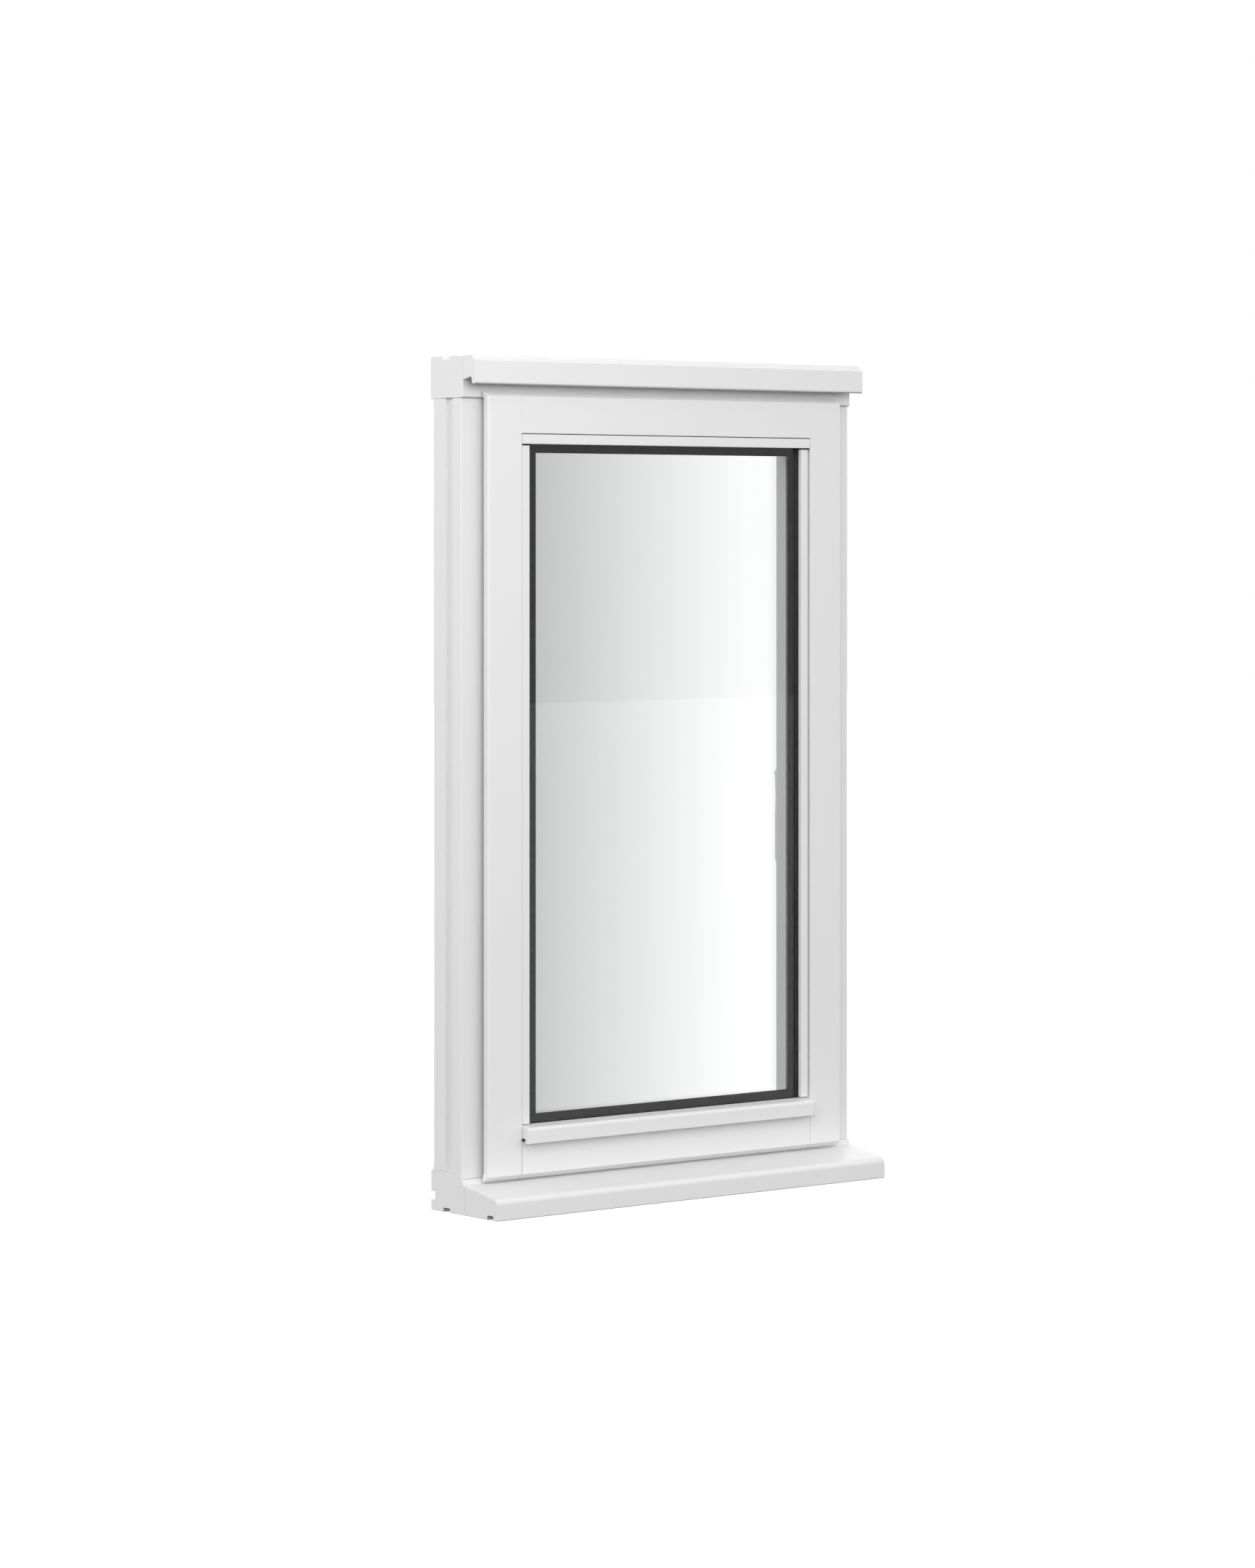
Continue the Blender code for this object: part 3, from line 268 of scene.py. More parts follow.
def screw_head(centre, way, facing, rise):
    """A pan head with a cross recess. Height over the disc is rise * sqrt(1 - (r / radius) ** 2), less a
    recess 0.7 deep where the nearer of |x| and |y| is under 0.11 of the radius, which fades out by 0.17 of
    it, and by 0.68 of the radius along each arm."""
    radius, steps = SCREW_RADIUS, 48
    turn = np.linspace(0, 2 * math.pi, steps, endpoint=False)
    reach = radius * np.concatenate([[1, 1], np.sin(np.linspace(math.pi / 2, 0.03, 12))])
    x, y = reach[:, None] * np.cos(turn), reach[:, None] * np.sin(turn)
    height = rise * np.sqrt(np.maximum(1 - (reach / radius) ** 2, 0))[:, None] + 0.35
    nearest = np.minimum(np.abs(x), np.abs(y)) / radius
    recess = np.clip((0.17 - nearest) / 0.06, 0, 1) * np.clip((0.68 - reach[:, None] / radius) / 0.1, 0, 1)
    height = height - 0.7 * recess
    height[0] = 0
    rings = np.empty((len(reach), steps, 3))
    u_axis, v_axis, along = WAYS[way]
    rings[:, :, u_axis], rings[:, :, v_axis], rings[:, :, along] = x, y, facing * height
    return capped(rings + np.asarray(centre, float))


def mirrored(shell):
    """The same solid on the other side of the window, with its faces turned to point outwards."""
    points, faces = shell
    return points * (-1, 1, 1), [face[::-1] for face in faces]


# ------------------------------------------------------------------ objects
def solid(name, shells):
    """A mesh object from shells of points and faces in millimetres, with its doubles merged."""
    points = np.concatenate([shell[0] for shell in shells]) * MM
    faces, first = [], 0
    for shell in shells:
        faces += [[first + index for index in face] for face in shell[1]]
        first += len(shell[0])
    mesh = bpy.data.meshes.new(name)
    mesh.from_pydata(points.tolist(), [], faces)
    welded = bmesh.new()
    welded.from_mesh(mesh)
    bmesh.ops.remove_doubles(welded, verts=welded.verts, dist=0.004 * MM)
    bmesh.ops.recalc_face_normals(welded, faces=welded.faces)
    welded.to_mesh(mesh)
    welded.free()
    obj = bpy.data.objects.new(name, mesh)
    bpy.context.scene.collection.objects.link(obj)
    return obj


def worked(obj, shells, operation):
    """Joins shells to an object, or cuts them from it, one after another."""
    tools = []
    for index, shell in enumerate(shells):
        tool = solid(f"{obj.name}_tool_{index}", [shell])
        tools.append(tool)
        change = obj.modifiers.new(tool.name, "BOOLEAN")
        change.operation = operation
        change.solver = "EXACT"
        change.object = tool
    graph = bpy.context.evaluated_depsgraph_get()
    result = bpy.data.meshes.new_from_object(obj.evaluated_get(graph))
    if not result.polygons:
        raise RuntimeError(f"nothing is left of {obj.name}")
    obj.modifiers.clear()
    obj.data = result
    for tool in tools:
        bpy.data.objects.remove(tool, do_unlink=True)


def piece(name, shells, material, body, stands_for=(), joins=(), cuts=(), soft=30):
    """A finished piece: its solids joined and cut. Timber is planed, so every facet of it stays flat; on the
    rest the shading runs smoothly over arrises flatter than soft degrees."""
    obj = solid(name, shells)
    if joins:
        worked(obj, joins, "UNION")
    if cuts:
        worked(obj, cuts, "DIFFERENCE")
    if material.name.startswith("sprayed_pine"):
        obj.data.shade_flat()
    else:
        obj.data.shade_smooth()
        obj.data.set_sharp_from_angle(angle=math.radians(soft))
        even = obj.modifiers.new("even_flats", "WEIGHTED_NORMAL")
        even.keep_sharp = True
    obj.data.materials.clear()
    obj.data.materials.append(material)
    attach(obj, body)
    if stands_for:
        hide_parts(*stands_for)
    return obj


# ------------------------------------------------------------------ materials
def linear(code):
    """The linear colour of an sRGB hex code: ((c + 0.055) / 1.055) ** 2.4 above the toe, c / 12.92 below."""
    values = [int(code[i : i + 2], 16) / 255 for i in (1, 3, 5)]
    return tuple(c / 12.92 if c <= 0.04045 else ((c + 0.055) / 1.055) ** 2.4 for c in values) + (1.0,)


def add(tree, kind, settings=None, inputs=None):
    """Adds a node with its settings, and fills its inputs with values or with links from other nodes."""
    new = tree.nodes.new(kind)
    for name, value in (settings or {}).items():
        setattr(new, name, value)
    for name, value in (inputs or {}).items():
        if isinstance(value, bpy.types.NodeSocket):
            tree.links.new(value, new.inputs[name])
        else:
            new.inputs[name].default_value = value
    return new


def new_material(name):
    """A material with an empty tree, its coordinates and its output."""
    material = bpy.data.materials.new(name)
    material.use_nodes = True
    tree = material.node_tree
    tree.nodes.clear()
    coordinates = add(tree, "ShaderNodeTexCoord").outputs["Object"]
    output = add(tree, "ShaderNodeOutputMaterial")
    return material, tree, coordinates, output


def painted_timber(name, grain_axis, light, dark):
    """Pine under sprayed white micro-porous paint: a satin skin with a faint orange peel, through which
    the early and late wood just tell as long low ripples along the grain."""
    material, tree, coordinates, output = new_material(name)
    stretch = [1.0, 1.0, 1.0]
    # Growth rings stand 3 mm apart across a board and run on for about 120 mm along it.
    stretch["xyz".index(grain_axis)] = 0.025
    along = add(tree, "ShaderNodeMapping", None, {"Vector": coordinates, "Scale": stretch})
    rings = add(tree, "ShaderNodeTexNoise", None, {
        "Vector": along.outputs[0], "Scale": 1 / (3.0 * MM), "Detail": 3.0, "Roughness": 0.55,
    })
    # Orange peel: droplets of paint flow out to bumps 0.9 mm across.
    peel = add(tree, "ShaderNodeTexNoise", None, {
        "Vector": coordinates, "Scale": 1 / (0.9 * MM), "Detail": 1.0, "Roughness": 0.4,
    })
    # The film's thickness drifts over a hand's breadth, which moves its white a little.
    cloud = add(tree, "ShaderNodeTexNoise", None, {
        "Vector": coordinates, "Scale": 1 / (160 * MM), "Detail": 2.0, "Roughness": 0.5,
    })
    tone = add(tree, "ShaderNodeMix", {"data_type": "RGBA"}, {
        "Factor": cloud.outputs["Fac"], "A": linear(dark), "B": linear(light),
    })
    gloss = add(tree, "ShaderNodeMapRange", None, {
        "Value": peel.outputs["Fac"], "From Min": 0.3, "From Max": 0.7, "To Min": 0.34, "To Max": 0.42,
    })
    ripple = add(tree, "ShaderNodeBump", None, {
        "Height": rings.outputs["Fac"], "Strength": 0.25, "Distance": 0.03 * MM,
    })
    skin = add(tree, "ShaderNodeBump", None, {
        "Height": peel.outputs["Fac"], "Strength": 0.25, "Distance": 0.012 * MM,
        "Normal": ripple.outputs["Normal"],
    })
    paint = add(tree, "ShaderNodeBsdfPrincipled", None, {
        "Base Color": tone.outputs["Result"], "Roughness": gloss.outputs["Result"], "IOR": 1.5,
        "Normal": skin.outputs["Normal"],
    })
    tree.links.new(paint.outputs[0], output.inputs["Surface"])
    return material


def float_glass():
    """Clear soda-lime float glass 4 mm thick, fire-polished flat and all but colourless, with the faint
    drift in tone and the thin film of handling that keep it from looking like air."""
    material, tree, coordinates, output = new_material("float_glass")
    drift = add(tree, "ShaderNodeTexNoise", None, {
        "Vector": coordinates, "Scale": 1 / (180 * MM), "Detail": 2.0,
    })
    tone = add(tree, "ShaderNodeMix", {"data_type": "RGBA"}, {
        "Factor": drift.outputs["Fac"], "A": linear("#F7F8F8"), "B": linear("#F9F9F9"),
    })
    film = add(tree, "ShaderNodeMapRange", None, {
        "Value": drift.outputs["Fac"], "From Min": 0.4, "From Max": 0.8, "To Min": 0.0, "To Max": 0.006,
    })
    glass = add(tree, "ShaderNodeBsdfPrincipled", None, {
        "Base Color": tone.outputs["Result"], "Roughness": film.outputs["Result"], "IOR": 1.52,
        "Transmission Weight": 1.0,
    })
    tree.links.new(glass.outputs[0], output.inputs["Surface"])
    return material


def moulded(name, colour, roughness, grit, height, metallic=0.0, coat=0.0, gloss=0.5):
    """A plain solid finish whose surface is broken by fine grit: bumps grit mm apart and height mm high."""
    material, tree, coordinates, output = new_material(name)
    noise = add(tree, "ShaderNodeTexNoise", None, {
        "Vector": coordinates, "Scale": 1 / (grit * MM), "Detail": 2.0, "Roughness": 0.5,
    })
    rough = add(tree, "ShaderNodeMapRange", None, {
        "Value": noise.outputs["Fac"], "From Min": 0.3, "From Max": 0.7,
        "To Min": roughness * 0.88, "To Max": roughness * 1.12,
    })
    bump = add(tree, "ShaderNodeBump", None, {
        "Height": noise.outputs["Fac"], "Strength": 0.4, "Distance": height * MM,
    })
    shader = add(tree, "ShaderNodeBsdfPrincipled", None, {
        "Base Color": linear(colour), "Roughness": rough.outputs["Result"], "Metallic": metallic,
        "Coat Weight": coat, "Specular IOR Level": gloss, "Normal": bump.outputs["Normal"],
    })
    tree.links.new(shader.outputs[0], output.inputs["Surface"])
    return material


def brushed_steel(name, colour, roughness, brushed_along):
    """Pressed stainless strip: rolling marks 0.4 mm apart run along the strip."""
    material, tree, coordinates, output = new_material(name)
    stretch = [1.0, 1.0, 1.0]
    stretch["xyz".index(brushed_along)] = 0.01
    along = add(tree, "ShaderNodeMapping", None, {"Vector": coordinates, "Scale": stretch})
    marks = add(tree, "ShaderNodeTexNoise", None, {
        "Vector": along.outputs[0], "Scale": 1 / (0.4 * MM), "Detail": 2.0, "Roughness": 0.6,
    })
    rough = add(tree, "ShaderNodeMapRange", None, {
        "Value": marks.outputs["Fac"], "From Min": 0.3, "From Max": 0.7,
        "To Min": roughness * 0.8, "To Max": roughness * 1.2,
    })
    bump = add(tree, "ShaderNodeBump", None, {
        "Height": marks.outputs["Fac"], "Strength": 0.3, "Distance": 0.006 * MM,
    })
    shader = add(tree, "ShaderNodeBsdfPrincipled", None, {
        "Base Color": linear(colour), "Roughness": rough.outputs["Result"], "Metallic": 1.0,
        "Normal": bump.outputs["Normal"],
    })
    tree.links.new(shader.outputs[0], output.inputs["Surface"])
    return material


# ------------------------------------------------------------------ settings
PAINT_LIGHT, PAINT_DARK = "#E5E5E5", "#E2E2E2"
# Glow of the tent from straight down (0) to straight up (1): its two ends first, then the stops between.
TENT = ((0.0, 0.01), (1.0, 0.1), (0.43, 0.02), (0.5, 0.8), (0.59, 1.0))
TENT_STRENGTH = 2.2
SOFTBOX_WATTS = 5.0
# Where the painted glow of the card behind the window starts and stops climbing across it, and from what to
# what.
PAINTED_GLOW_SPAN, PAINTED_GLOW = (0.329, 0.625), (0.602, 1.186)
# Metres from the origin to the card behind the window, whose glow is painted light, and to the dark mouth of
# the tent.
PAINTED_GLOW_DISTANCE, MOUTH_DISTANCE = 0.8, 1.4
CAMERA_PLACE = (-3.7387, -4.6051, 0.8229)
CAMERA_AZIMUTH = math.radians(38.67)
CAMERA_SHIFT = -0.15687


class CasementSettings(PropertyGroup):
    arris: FloatProperty(
        name="Arris", description="Radius of the head's and the sill's eased edges, in millimetres",
        default=1.2, min=0.3,
    )
    lens: FloatProperty(
        name="Lens", description="Focal length of the studio camera in millimetres", default=108.37, min=10,
    )


FINISHES = {
    "sprayed_pine_across": lambda: painted_timber("sprayed_pine_across", "x", PAINT_LIGHT, PAINT_DARK),
    "sprayed_pine_upright": lambda: painted_timber("sprayed_pine_upright", "z", PAINT_LIGHT, PAINT_DARK),
    "float_glass": float_glass,
    # Butyl and polysulphide: dead black, and bonded to the glass, so it has no gloss of its own.
    "black_sealant": lambda: moulded("black_sealant", "#101010", 0.5, 1.6, 0.004, gloss=0.0),
    # Extruded thermoplastic elastomer: dark grey and almost matt, faintly dusty.
    "extruded_seal": lambda: moulded("extruded_seal", "#2A2A29", 0.62, 0.8, 0.01),
    # Glass-filled nylon from a spark-eroded mould: black with a fine even grit.
    "moulded_nylon": lambda: moulded("moulded_nylon", "#171717", 0.5, 0.5, 0.015),
    # Polyester powder coat on die-cast zinc: white, glossy, with a low orange peel 1.4 mm across.
    "white_powder_coat": lambda: moulded("white_powder_coat", "#EFEFED", 0.24, 1.4, 0.012, coat=0.3),
    # Satin chrome plate: bead-blasted before plating, so its highlights are soft.
    "satin_chrome": lambda: moulded("satin_chrome", "#C9CACB", 0.26, 0.5, 0.003, metallic=1.0),
    # Bright zinc plate with its thin passivated bloom, which dulls it in drifting patches.
    "zinc_plate": lambda: moulded("zinc_plate", "#BDBDB6", 0.36, 6.0, 0.004, metallic=1.0),
    "rolled_stainless": lambda: brushed_steel("rolled_stainless", "#C4C3C0", 0.3, "x"),
}


def finish(name):
    """One of the finishes, made when a piece first asks for it."""
    return bpy.data.materials.get(name) or FINISHES[name]()


def slope_height(y):
    """Height of the sill's weathered slope at a depth y."""
    return SLOPE_TOP + SLOPE * (y - HEAD_FRONT)


def both_sides(make):
    """Calls make(side, turn) for the left side and then the right. turn mirrors a shell for the right."""
    make("left", lambda shell: shell)
    make("right", mirrored)


class CASEMENT_OT_frame_timber(Operator):
    """Builds the head, drip mould, sill, nosing and jambs"""

    bl_idname = "casement.frame_timber"
    bl_label = "Frame Timber"

    def execute(self, context):
        arris = context.scene.casement.arris
        self.head(arris)
        self.drip_mould()
        self.sill(arris)
        self.nosing()
        both_sides(self.jamb)
        return {"FINISHED"}

    def shoulders(self, bottom, top, back):
        """What the ends of a rail lose where the jambs' stops run past it."""
        low_end, high_end = -HALF - 2, STOP_INNER + GAP
        left = block((low_end, STOP_FACE - 0.5, bottom), (high_end, back + 2, top), HAIR)
        return [left, mirrored(left)]

    def head(self, arris):
        groove = HEAD_BACK - 38.5
        corners = [
            (HEAD_FRONT, FRAME_TOP, arris), (groove, FRAME_TOP, 0.5), (groove, FRAME_TOP - GROOVE_DEPTH, 0.4),
            (groove + GROOVE_WIDTH, FRAME_TOP - GROOVE_DEPTH, 0.4), (groove + GROOVE_WIDTH, FRAME_TOP, 0.5),
            (HEAD_BACK, FRAME_TOP, 1.6),
            (HEAD_BACK, SOFFIT - STOP_HEIGHT, 1.6), (STOP_FACE, SOFFIT - STOP_HEIGHT, arris),
            (STOP_FACE, SOFFIT, 0.3), (HEAD_FRONT, SOFFIT, 2.6),
        ]
        cuts = self.shoulders(SOFFIT - STOP_HEIGHT - 2, SOFFIT, HEAD_BACK)
        piece("painted_head", [run(corners, -HALF, HALF, "x", 0.6)], finish("sprayed_pine_across"), "frame",
              ["head"], cuts=cuts)

    def drip_mould(self):
        back, front = high("head_drip_mould", "y"), low("head_drip_mould", "y")
        foot, step = low("head_drip_mould", "z"), front + 6.4
        corners = [
            (back, FRAME_TOP - 3, 0.4), (back - 3, FRAME_TOP, 0.4), (step, FRAME_TOP, 0.7),
            (step, FRAME_TOP - 2.9, 0.5), (front, FRAME_TOP - 6.2, 1.4), (front, foot, 2.6),
            (front + 7, foot, 1.6), (front + 8.6, foot + 9, 2.2), (back, foot + 5, 0.4),
        ]
        piece("painted_drip_mould", [run(corners, -HALF, HALF, "x", 0.5)], finish("sprayed_pine_across"),
              "frame", ["head_drip_mould"])

    def sill(self, arris):
        joint = low("sill", "y")
        board, groove = SILL_BACK - 8.2, SILL_BACK - 38.8
        # A slot along the back takes the window board's tongue.
        slot_bottom, slot_top = 13.5, 23
        corners = [
            (joint, slope_height(joint), 0.2), (HEAD_FRONT, SLOPE_TOP, 0.8), (HEAD_FRONT, UPSTAND, 3.2),
            (0, UPSTAND, 0.8), (SHELF, SHOULDER, 0.5), (STOP_FACE, SHOULDER, 0.3),
            (STOP_FACE, SILL_TOP, arris),
            (SILL_BACK, SILL_TOP, 1.6), (SILL_BACK, slot_top, 0.6), (board, slot_top, 0.5),
            (board, slot_bottom, 0.5), (SILL_BACK, slot_bottom, 0.6), (SILL_BACK, 0, 1.4),
            (groove + GROOVE_WIDTH, 0, 0.5),
            (groove + GROOVE_WIDTH, 5, 0.4), (groove, 5, 0.4), (groove, 0, 0.5), (joint, 0, 0.6),
        ]
        trough = run(
            [(4.9, SEAT, 0.4), (4.9, SHOULDER + 6, 0), (STOP_FACE, SHOULDER + 6, 0), (STOP_FACE, SEAT, 0.3)],
            JAMB_INNER, -JAMB_INNER, "x", HAIR,
        )
        cuts = [trough] + self.shoulders(SHOULDER, SILL_TOP + 2, SILL_BACK)
        piece("painted_sill", [run(corners, -HALF, HALF, "x", 0.6)], finish("sprayed_pine_across"), "frame",
              ["sill"], cuts=cuts)

    def nosing(self):
        back, front = high("sill_nosing", "y"), low("sill_nosing", "y")
        throat = front + 7.8
        corners = [
            (back, slope_height(back), 0.2), (front, slope_height(front), 7.5), (front, 0, 1.4),
            (throat, 0, 0.8), (throat, 5.5, 2.0), (throat + 12, 5.5, 3.0), (throat + 12, 0, 0.8),
            (back, 0, 0.6),
        ]
        piece("painted_sill_nosing", [run(corners, -HALF, HALF, "x", 0.6)], finish("sprayed_pine_across"),
              "frame", ["sill_nosing"])

    def jamb(self, side, turn):
        top = SOFFIT - GAP
        groove = 17.9

        def corners(place):
            """The back arris is stopped: its radius climbs from nearly nothing over 10 mm at each end."""
            left = np.clip(min(place - SHOULDER, top - place) / 10, 0, 1)
            stopped = 0.5 + 2.7 * left * left * (3 - 2 * left)
            return [
                (-HALF, 0, 1.2), (JAMB_INNER, 0, 1.2), (JAMB_INNER, STOP_FACE, 0.3),
                (STOP_INNER, STOP_FACE, 1.2), (STOP_INNER, JAMB_BACK, stopped), (-HALF, JAMB_BACK, stopped),
                (-HALF, groove + GROOVE_WIDTH, 0.5), (-HALF + GROOVE_DEPTH, groove + GROOVE_WIDTH, 0.4),
                (-HALF + GROOVE_DEPTH, groove, 0.4), (-HALF, groove, 0.5),
            ]

        climb = np.linspace(0.5, 10, 9)
        stations = np.concatenate([SHOULDER + climb, (top - climb)[::-1]])
        rise = (SHOULDER - UPSTAND) / SHELF
        foot = [
            (-6, UPSTAND - 6 * rise + GAP, 0), (SHELF, SHOULDER + GAP, 0), (JAMB_BACK + 6, SHOULDER + GAP, 0),
            (JAMB_BACK + 6, 0, 0), (-6, 0, 0),
        ]
        cut = run(foot, -HALF - 6, STOP_INNER + 6, "x", HAIR)
        piece(f"painted_{side}_jamb", [turn(run(corners, JAMB_FOOT, top, "z", 0.15, stations))],
              finish("sprayed_pine_upright"), "frame", [f"{side}_jamb"], cuts=[turn(cut)])


class CASEMENT_OT_seals(Operator):
    """Builds the weather seals round the frame's stops"""

    bl_idname = "casement.seals"
    bl_label = "Weather Seals"

    def execute(self, context):
        back, tip = high("left_jamb_seal", "y"), low("left_jamb_seal", "y")
        half = (high("left_jamb_seal", "x") - low("left_jamb_seal", "x")) / 2

        def profile(middle, swap):
            """A flat strip on the stop with a soft hooked lip, as (across, depth) or (depth, across)."""
            points = [
                (-half, back, 0.2), (half, back, 0.2), (half, back - 0.9, 0.3), (1.6, back - 1.0, 0.3),
                (2.3, tip + 0.5, 0.5), (1.0, tip, 0.5), (-1.6, tip, 0.6), (-2.4, back - 1.0, 0.4),
                (-half, back - 0.9, 0.3),
            ]
            return [((depth, middle + across, r) if swap else (middle + across, depth, r))
                    for across, depth, r in points]

        def upright(side, turn):
            node = f"{side}_jamb_seal"
            middle = low("left_jamb_seal", "x") + half
            shell = run(profile(middle, False), low(node, "z"), high(node, "z"), "z", 0.2)
            piece(f"extruded_{node}", [turn(shell)], finish("extruded_seal"), "frame", [node])

        both_sides(upright)
        for node in ("head_seal", "sill_seal"):
            shell = run(profile(low(node, "z") + half, True), low(node, "x"), high(node, "x"), "x", 0.2)
            piece(f"extruded_{node}", [shell], finish("extruded_seal"), "frame", [node])
        return {"FINISHED"}


def bevel_front(place):
    """Depth of the lip's face at a height: the plane of the face bent back at each end along a hyperbola,
    so that the bevel leaves the face without a crease."""
    slope = BEVEL_DEPTH / BEVEL_HEIGHT
    over = max(place - (LIP_TOP - BEVEL_HEIGHT), (LIP_BOTTOM + BEVEL_HEIGHT) - place)
    return SASH_FRONT + slope * 0.5 * (over + math.sqrt(over * over + 0.3))


class CASEMENT_OT_sash_timber(Operator):
    """Builds the sash's stiles and rails"""

    bl_idname = "casement.sash_timber"
    bl_label = "Sash Timber"

    def execute(self, context):
        both_sides(self.stile)
        self.rail("top", 1, 0.12)
        self.rail("bottom", -1, 0.4)
        return {"FINISHED"}

    def stile(self, side, turn):
        def lip(place):
            front = bevel_front(place)
            thick = LIP_BACK - front
            # Above the bead the joint with the top rail is sanded flush, and elsewhere the arris is eased.
            inner = 0.08 if place >= REBATE_TOP else 0.8
            return [
                (LIP_LEFT, front, min(3.5, 0.3 * thick + 0.4)), (REBATE_LEFT, front, min(inner, 0.3 * thick)),
                (REBATE_LEFT, LIP_BACK, HAIR), (LIP_LEFT, LIP_BACK, min(0.8, 0.3 * thick)),
            ]

        bend = np.linspace(-1.6, 1.6, 9)
        low_bend, high_bend = LIP_BOTTOM + BEVEL_HEIGHT, LIP_TOP - BEVEL_HEIGHT
        stations = np.concatenate([
            low_bend + bend,
            [REBATE_BOTTOM - 0.1, REBATE_BOTTOM + 0.1, REBATE_TOP - 0.1, REBATE_TOP + 0.1],
            high_bend + bend,
        ])
        front = run(lip, LIP_BOTTOM, LIP_TOP, "z", LIP_EASE, stations)
        body = run([
            (REBATE_LEFT, LIP_BACK - 1, 0), (REBATE_LEFT, REBATE_BACK, 0.4), (NIB_LEFT, REBATE_BACK, 0.8),
            (NIB_LEFT, SASH_BACK, 5.0), (BODY_LEFT, SASH_BACK, 3.0), (BODY_LEFT, LIP_BACK - 1, 0),
        ], BODY_BOTTOM, BODY_TOP, "z", 0.8)
        # A shallow step behind the lip's edge breaks the draught.
        relief = block((LIP_LEFT - 4, LIP_BACK - 2.6, LIP_BOTTOM + 9.4),
                       (LIP_LEFT + 4, LIP_BACK + 2, LIP_TOP - 8.5), HAIR)
        cuts = [turn(relief)]
        if side == "right":
            plate, case = BOX["lock_faceplate"], BOX["gearbox"]
            groove = case[1][0] + GAP
            cuts.append(block((groove, plate[0][1] - GAP, plate[0][2] - GAP),
                              (plate[1][0] + 2, plate[1][1] + GAP, plate[1][2] + GAP), HAIR))
            cuts.append(block(case[0] - GAP, (groove + 0.5, case[1][1] + GAP, case[1][2] + GAP), HAIR))
            cuts.append(lathe([(6.5, LOCK_Y), (6.5, SASH_BACK + 4)], (SPINDLE_X, 0, HANDLE_Z), "y"))
        piece(f"painted_{side}_stile", [turn(front)], finish("sprayed_pine_upright"), "sash",
              [f"{side}_stile"], joins=[turn(body)], cuts=cuts)

    def rail(self, name, way, ease):
        """way is 1 for the top rail, whose edge is up, and -1 for the bottom one. The top rail's joints with
        the stiles are glued up tight, and the bottom one's stand open a hair."""
        edge, rebate = (LIP_TOP, REBATE_TOP) if way > 0 else (LIP_BOTTOM, REBATE_BOTTOM)
        body, nib = (BODY_TOP, NIB_TOP) if way > 0 else (BODY_BOTTOM, NIB_BOTTOM)
        sunk = rebate if way > 0 else rebate + 3
        corners = [
            (SASH_FRONT, rebate, 0.8), (SASH_FRONT, edge - way * BEVEL_HEIGHT, 1.0),
            (SASH_FRONT + BEVEL_DEPTH, edge, 0.7), (LIP_BACK, edge, 0.3), (LIP_BACK, body, 0.3),
            (SASH_BACK, body, 3.0), (SASH_BACK, nib, 5.0), (REBATE_BACK, nib, 0.8), (REBATE_BACK, sunk, 0.3),
        ]
        end = REBATE_LEFT + (0.06 if way > 0 else 0.65)
        scribe = block((end - 2, REBATE_BACK - GAP, BODY_BOTTOM - 6),
                       (NIB_LEFT + GAP, SASH_BACK + 2, BODY_TOP + 6), HAIR)
        piece(f"painted_{name}_rail", [run(corners, end, -end, "x", ease)], finish("sprayed_pine_across"),
              "sash", [f"{name}_rail"], cuts=[scribe, mirrored(scribe)])


class CASEMENT_OT_beads(Operator):
    """Builds the glazing beads and the weather bead with its end caps"""

    bl_idname = "casement.beads"
    bl_label = "Glazing Beads"

    def execute(self, context):
        back = high("top_bead", "y")

        def side_bead(side, turn):
            (outer, front, bottom), (_, heel, top) = BOX["left_bead"]
            inner, foot = REBATE_LEFT + BEAD_WIDTH, outer + 5.9
            corners = [
                (outer, front, 0.9), (inner, front, 0.9), (inner, back, 0.2), (foot, back, 0.2),
                (foot, heel, 0.3), (outer, heel, 0.4),
            ]
            shell = run(corners, bottom, top, "z", LIP_EASE)
            piece(f"painted_{side}_bead", [turn(shell)], finish("sprayed_pine_upright"), "sash",
                  [f"{side}_bead"])

        both_sides(side_bead)
        flush, foot, crown = low("top_bead", "y"), low("top_bead", "z"), high("top_bead", "z") - 0.25
        corners = [(flush, foot, 0.9), (flush, crown, 0.7), (back, crown, 0.2), (back, foot, 0.3)]
        piece("painted_top_bead", [run(corners, low("top_bead", "x"), high("top_bead", "x"), "x", 0.3)],
              finish("sprayed_pine_across"), "sash", ["top_bead"])

        def weather(grow):
            """Section of the projecting bead: flat back, gentle fall, round nose, and a drip behind it."""
            front, foot = low("weather_bead", "y") - grow, low("weather_bead", "z") - grow
            shoulder, drip = REBATE_BOTTOM + 3.9, front + 6.6 + grow
            return [
                (back, shoulder, 0.3), (back, BEAD_TOP - 0.5 + grow, 0.3),
                (front, BEAD_TOP - 3.2 + grow, 4.8), (front, foot, 1.3), (drip, foot, 1.2),
                (drip, shoulder, 0.8),
            ]

        piece("painted_weather_bead",
              [run(weather(0), low("weather_bead", "x"), high("weather_bead", "x"), "x", 0.2)],
              finish("sprayed_pine_across"), "sash", ["weather_bead"])

        def cap(side, turn):
            start, end = low("left_bead_cap", "x"), high("left_bead_cap", "x")
            shell = run(weather(0.4), start, end, "x", 0.2, start_ease=1.0)
            piece(f"moulded_{side}_bead_cap", [turn(shell)], finish("sprayed_pine_across"), "sash",
                  [f"{side}_bead_cap"])

        both_sides(cap)
        return {"FINISHED"}


